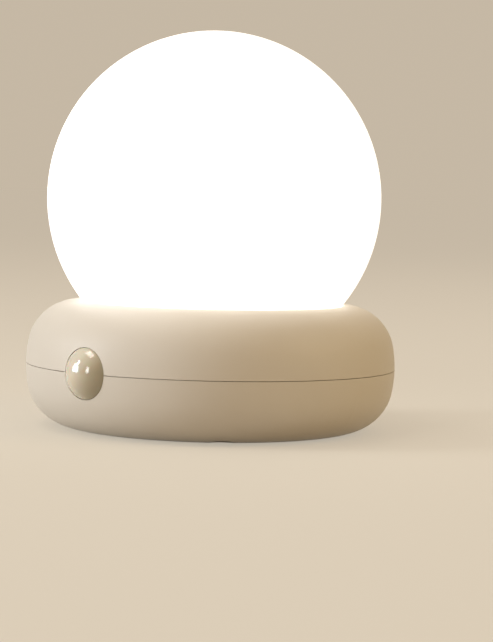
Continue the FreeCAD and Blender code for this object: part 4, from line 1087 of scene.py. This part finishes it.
@dataclass
class Studio:
    """Pale floor, pale surroundings, soft lamps and the camera."""

    camera: PhotoCamera = PhotoCamera()
    floor_size: float = 60.0
    floor_patches: float = 3.0
    floor_patch_tone: float = 0.995
    backdrop: Colour = linear(228, 219, 203)
    surround: Triple = (1.0, 0.72, 0.42)
    surround_strength: float = 0.33
    floor_share: float = 0.5
    bounce_share: float = 0.7
    lift: float = 0.56
    aim_level: float = 20.0 * MM
    lamps: tuple[Lamp, ...] = (
        Lamp("key", 1.1, 0.6, 0.46, -44, 11, 1.4, (0.9, 0.97, 1.03), spread=60),
        Lamp("slim_left", 1.7, 0.2, 0.26, -41, 28, 1.3, (1.0, 1.0, 1.0)),
        Lamp("slim_right", 0.18, 0.2, 0.46, 9, 13, 1.3, (1.0, 0.99, 0.97), spread=60),
        Lamp("overhead", 1.4, 0.6, 0.26, -27, 68, 1.0, (1.0, 0.97, 0.93)),
        Lamp("fill", 3.5, 0.7, 0.7, 112, 26, 1.3, (1.0, 0.8, 0.48)),
        Lamp("back", 0.8, 0.6, 0.6, 200, 50, 1.2, (1.0, 0.93, 0.84)),
    )

    def build(self, floor_level: float) -> None:
        """Make the floor, the world, the lamps and the camera.

        Args:
            floor_level: Height of the floor.
        """
        self.make_floor(floor_level)
        self.make_world()
        for lamp in self.lamps:
            lamp.hang(Vector((0, BASE.axis_y, self.aim_level)))
        self.camera.place()
        bpy.context.scene.view_settings.view_transform = "Standard"

    @staticmethod
    def seen_directly(tree: bpy.types.NodeTree) -> bpy.types.NodeSocket:
        """One for camera, glossy and transmission rays, and zero for the rest.

        Args:
            tree: The node tree to add to.

        Returns:
            The value socket.
        """
        path = tree.nodes.new("ShaderNodeLightPath")
        value = path.outputs["Is Camera Ray"]
        for name in ("Is Glossy Ray", "Is Transmission Ray"):
            larger = tree.nodes.new("ShaderNodeMath")
            larger.operation = "MAXIMUM"
            tree.links.new(value, larger.inputs[0])
            tree.links.new(path.outputs[name], larger.inputs[1])
            value = larger.outputs["Value"]
        return value

    def make_floor(self, level: float) -> None:
        """A wide pale floor that throws back little light.

        Args:
            level: Height of the floor.
        """
        bpy.ops.mesh.primitive_plane_add(size=self.floor_size, location=(0, 0, level))
        floor = bpy.context.object
        floor.name = "floor"
        bpy.ops.object.transform_apply(location=True, rotation=True, scale=True)
        shader = Shader("floor_paint")
        seen = self.seen_directly(shader.tree)
        # A is what the floor throws back on the lamp, B is what the camera sees
        mix = shader.add("ShaderNodeMix", data_type="RGBA")
        mix.inputs["A"].default_value = shaded(self.backdrop, self.bounce_share)
        near = shaded(self.backdrop, self.floor_share)
        patches = shader.noise(self.floor_patches)
        paint = shader.ramp(patches, shaded(near, self.floor_patch_tone), near)
        shader.link(paint, mix.inputs["B"])
        shader.link(seen, mix.inputs["Factor"])
        shader.colour(mix.outputs["Result"])
        lift = shader.add("ShaderNodeMath", operation="MULTIPLY")
        lift.inputs[1].default_value = self.lift
        shader.link(seen, lift.inputs[0])
        shader.link(lift.outputs["Value"], shader.surface.inputs["Emission Strength"])
        shader.fixed(Roughness=1.0, Specular_IOR_Level=0.0, Emission_Color=self.backdrop)
        floor.data.materials.append(shader.material)

    def make_world(self) -> None:
        """Even warm light from all round, seen as the floor's own pale tone."""
        world = bpy.data.worlds.new("studio")
        world.use_nodes = True
        bpy.context.scene.world = world
        tree = world.node_tree
        back = tree.nodes["Background"]
        light = tuple(part * self.surround_strength for part in self.surround)
        view = tuple(tone * (part * self.floor_share + self.lift)
                     for tone, part in zip(self.backdrop, light))
        mix = tree.nodes.new("ShaderNodeMix")
        mix.data_type = "RGBA"
        mix.inputs["A"].default_value = (*light, 1.0)
        mix.inputs["B"].default_value = (*view, 1.0)
        tree.links.new(self.seen_directly(tree), mix.inputs["Factor"])
        tree.links.new(mix.outputs["Result"], back.inputs["Color"])
        back.inputs["Strength"].default_value = 1.0


def main() -> None:
    """Build the light's looks around the frame."""
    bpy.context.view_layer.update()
    palette = Palette()
    palette.dress_frame()

    globe = Globe().build()
    palette.dress(globe, Slot.MILK_PLASTIC)
    Bench.declare(globe, Slot.MILK_PLASTIC, "globe")
    lens = SensorLens().build()
    palette.dress(lens, Slot.PEARL_PLASTIC)
    Bench.declare(lens, Slot.PEARL_PLASTIC, "sensor_lens")
    Bench.declare(LightRing().build(palette), Slot.PHOSPHOR, "leds")
    plug = PlugBlock().build()
    palette.dress(plug, Slot.CREAM_PLASTIC)
    Bench.declare(plug, Slot.CREAM_PLASTIC, "plug_block")
    marks = SwitchMarks().build()
    palette.dress(marks, Slot.BLACK_PLASTIC)
    Bench.declare(marks, Slot.BLACK_PLASTIC)

    low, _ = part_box("lower_shell")
    Studio().build(low.z - FLOOR_GAP)
    log.info("dressed %d nodes", len(frame["nodes"]))


if __name__ == "__main__":
    main()
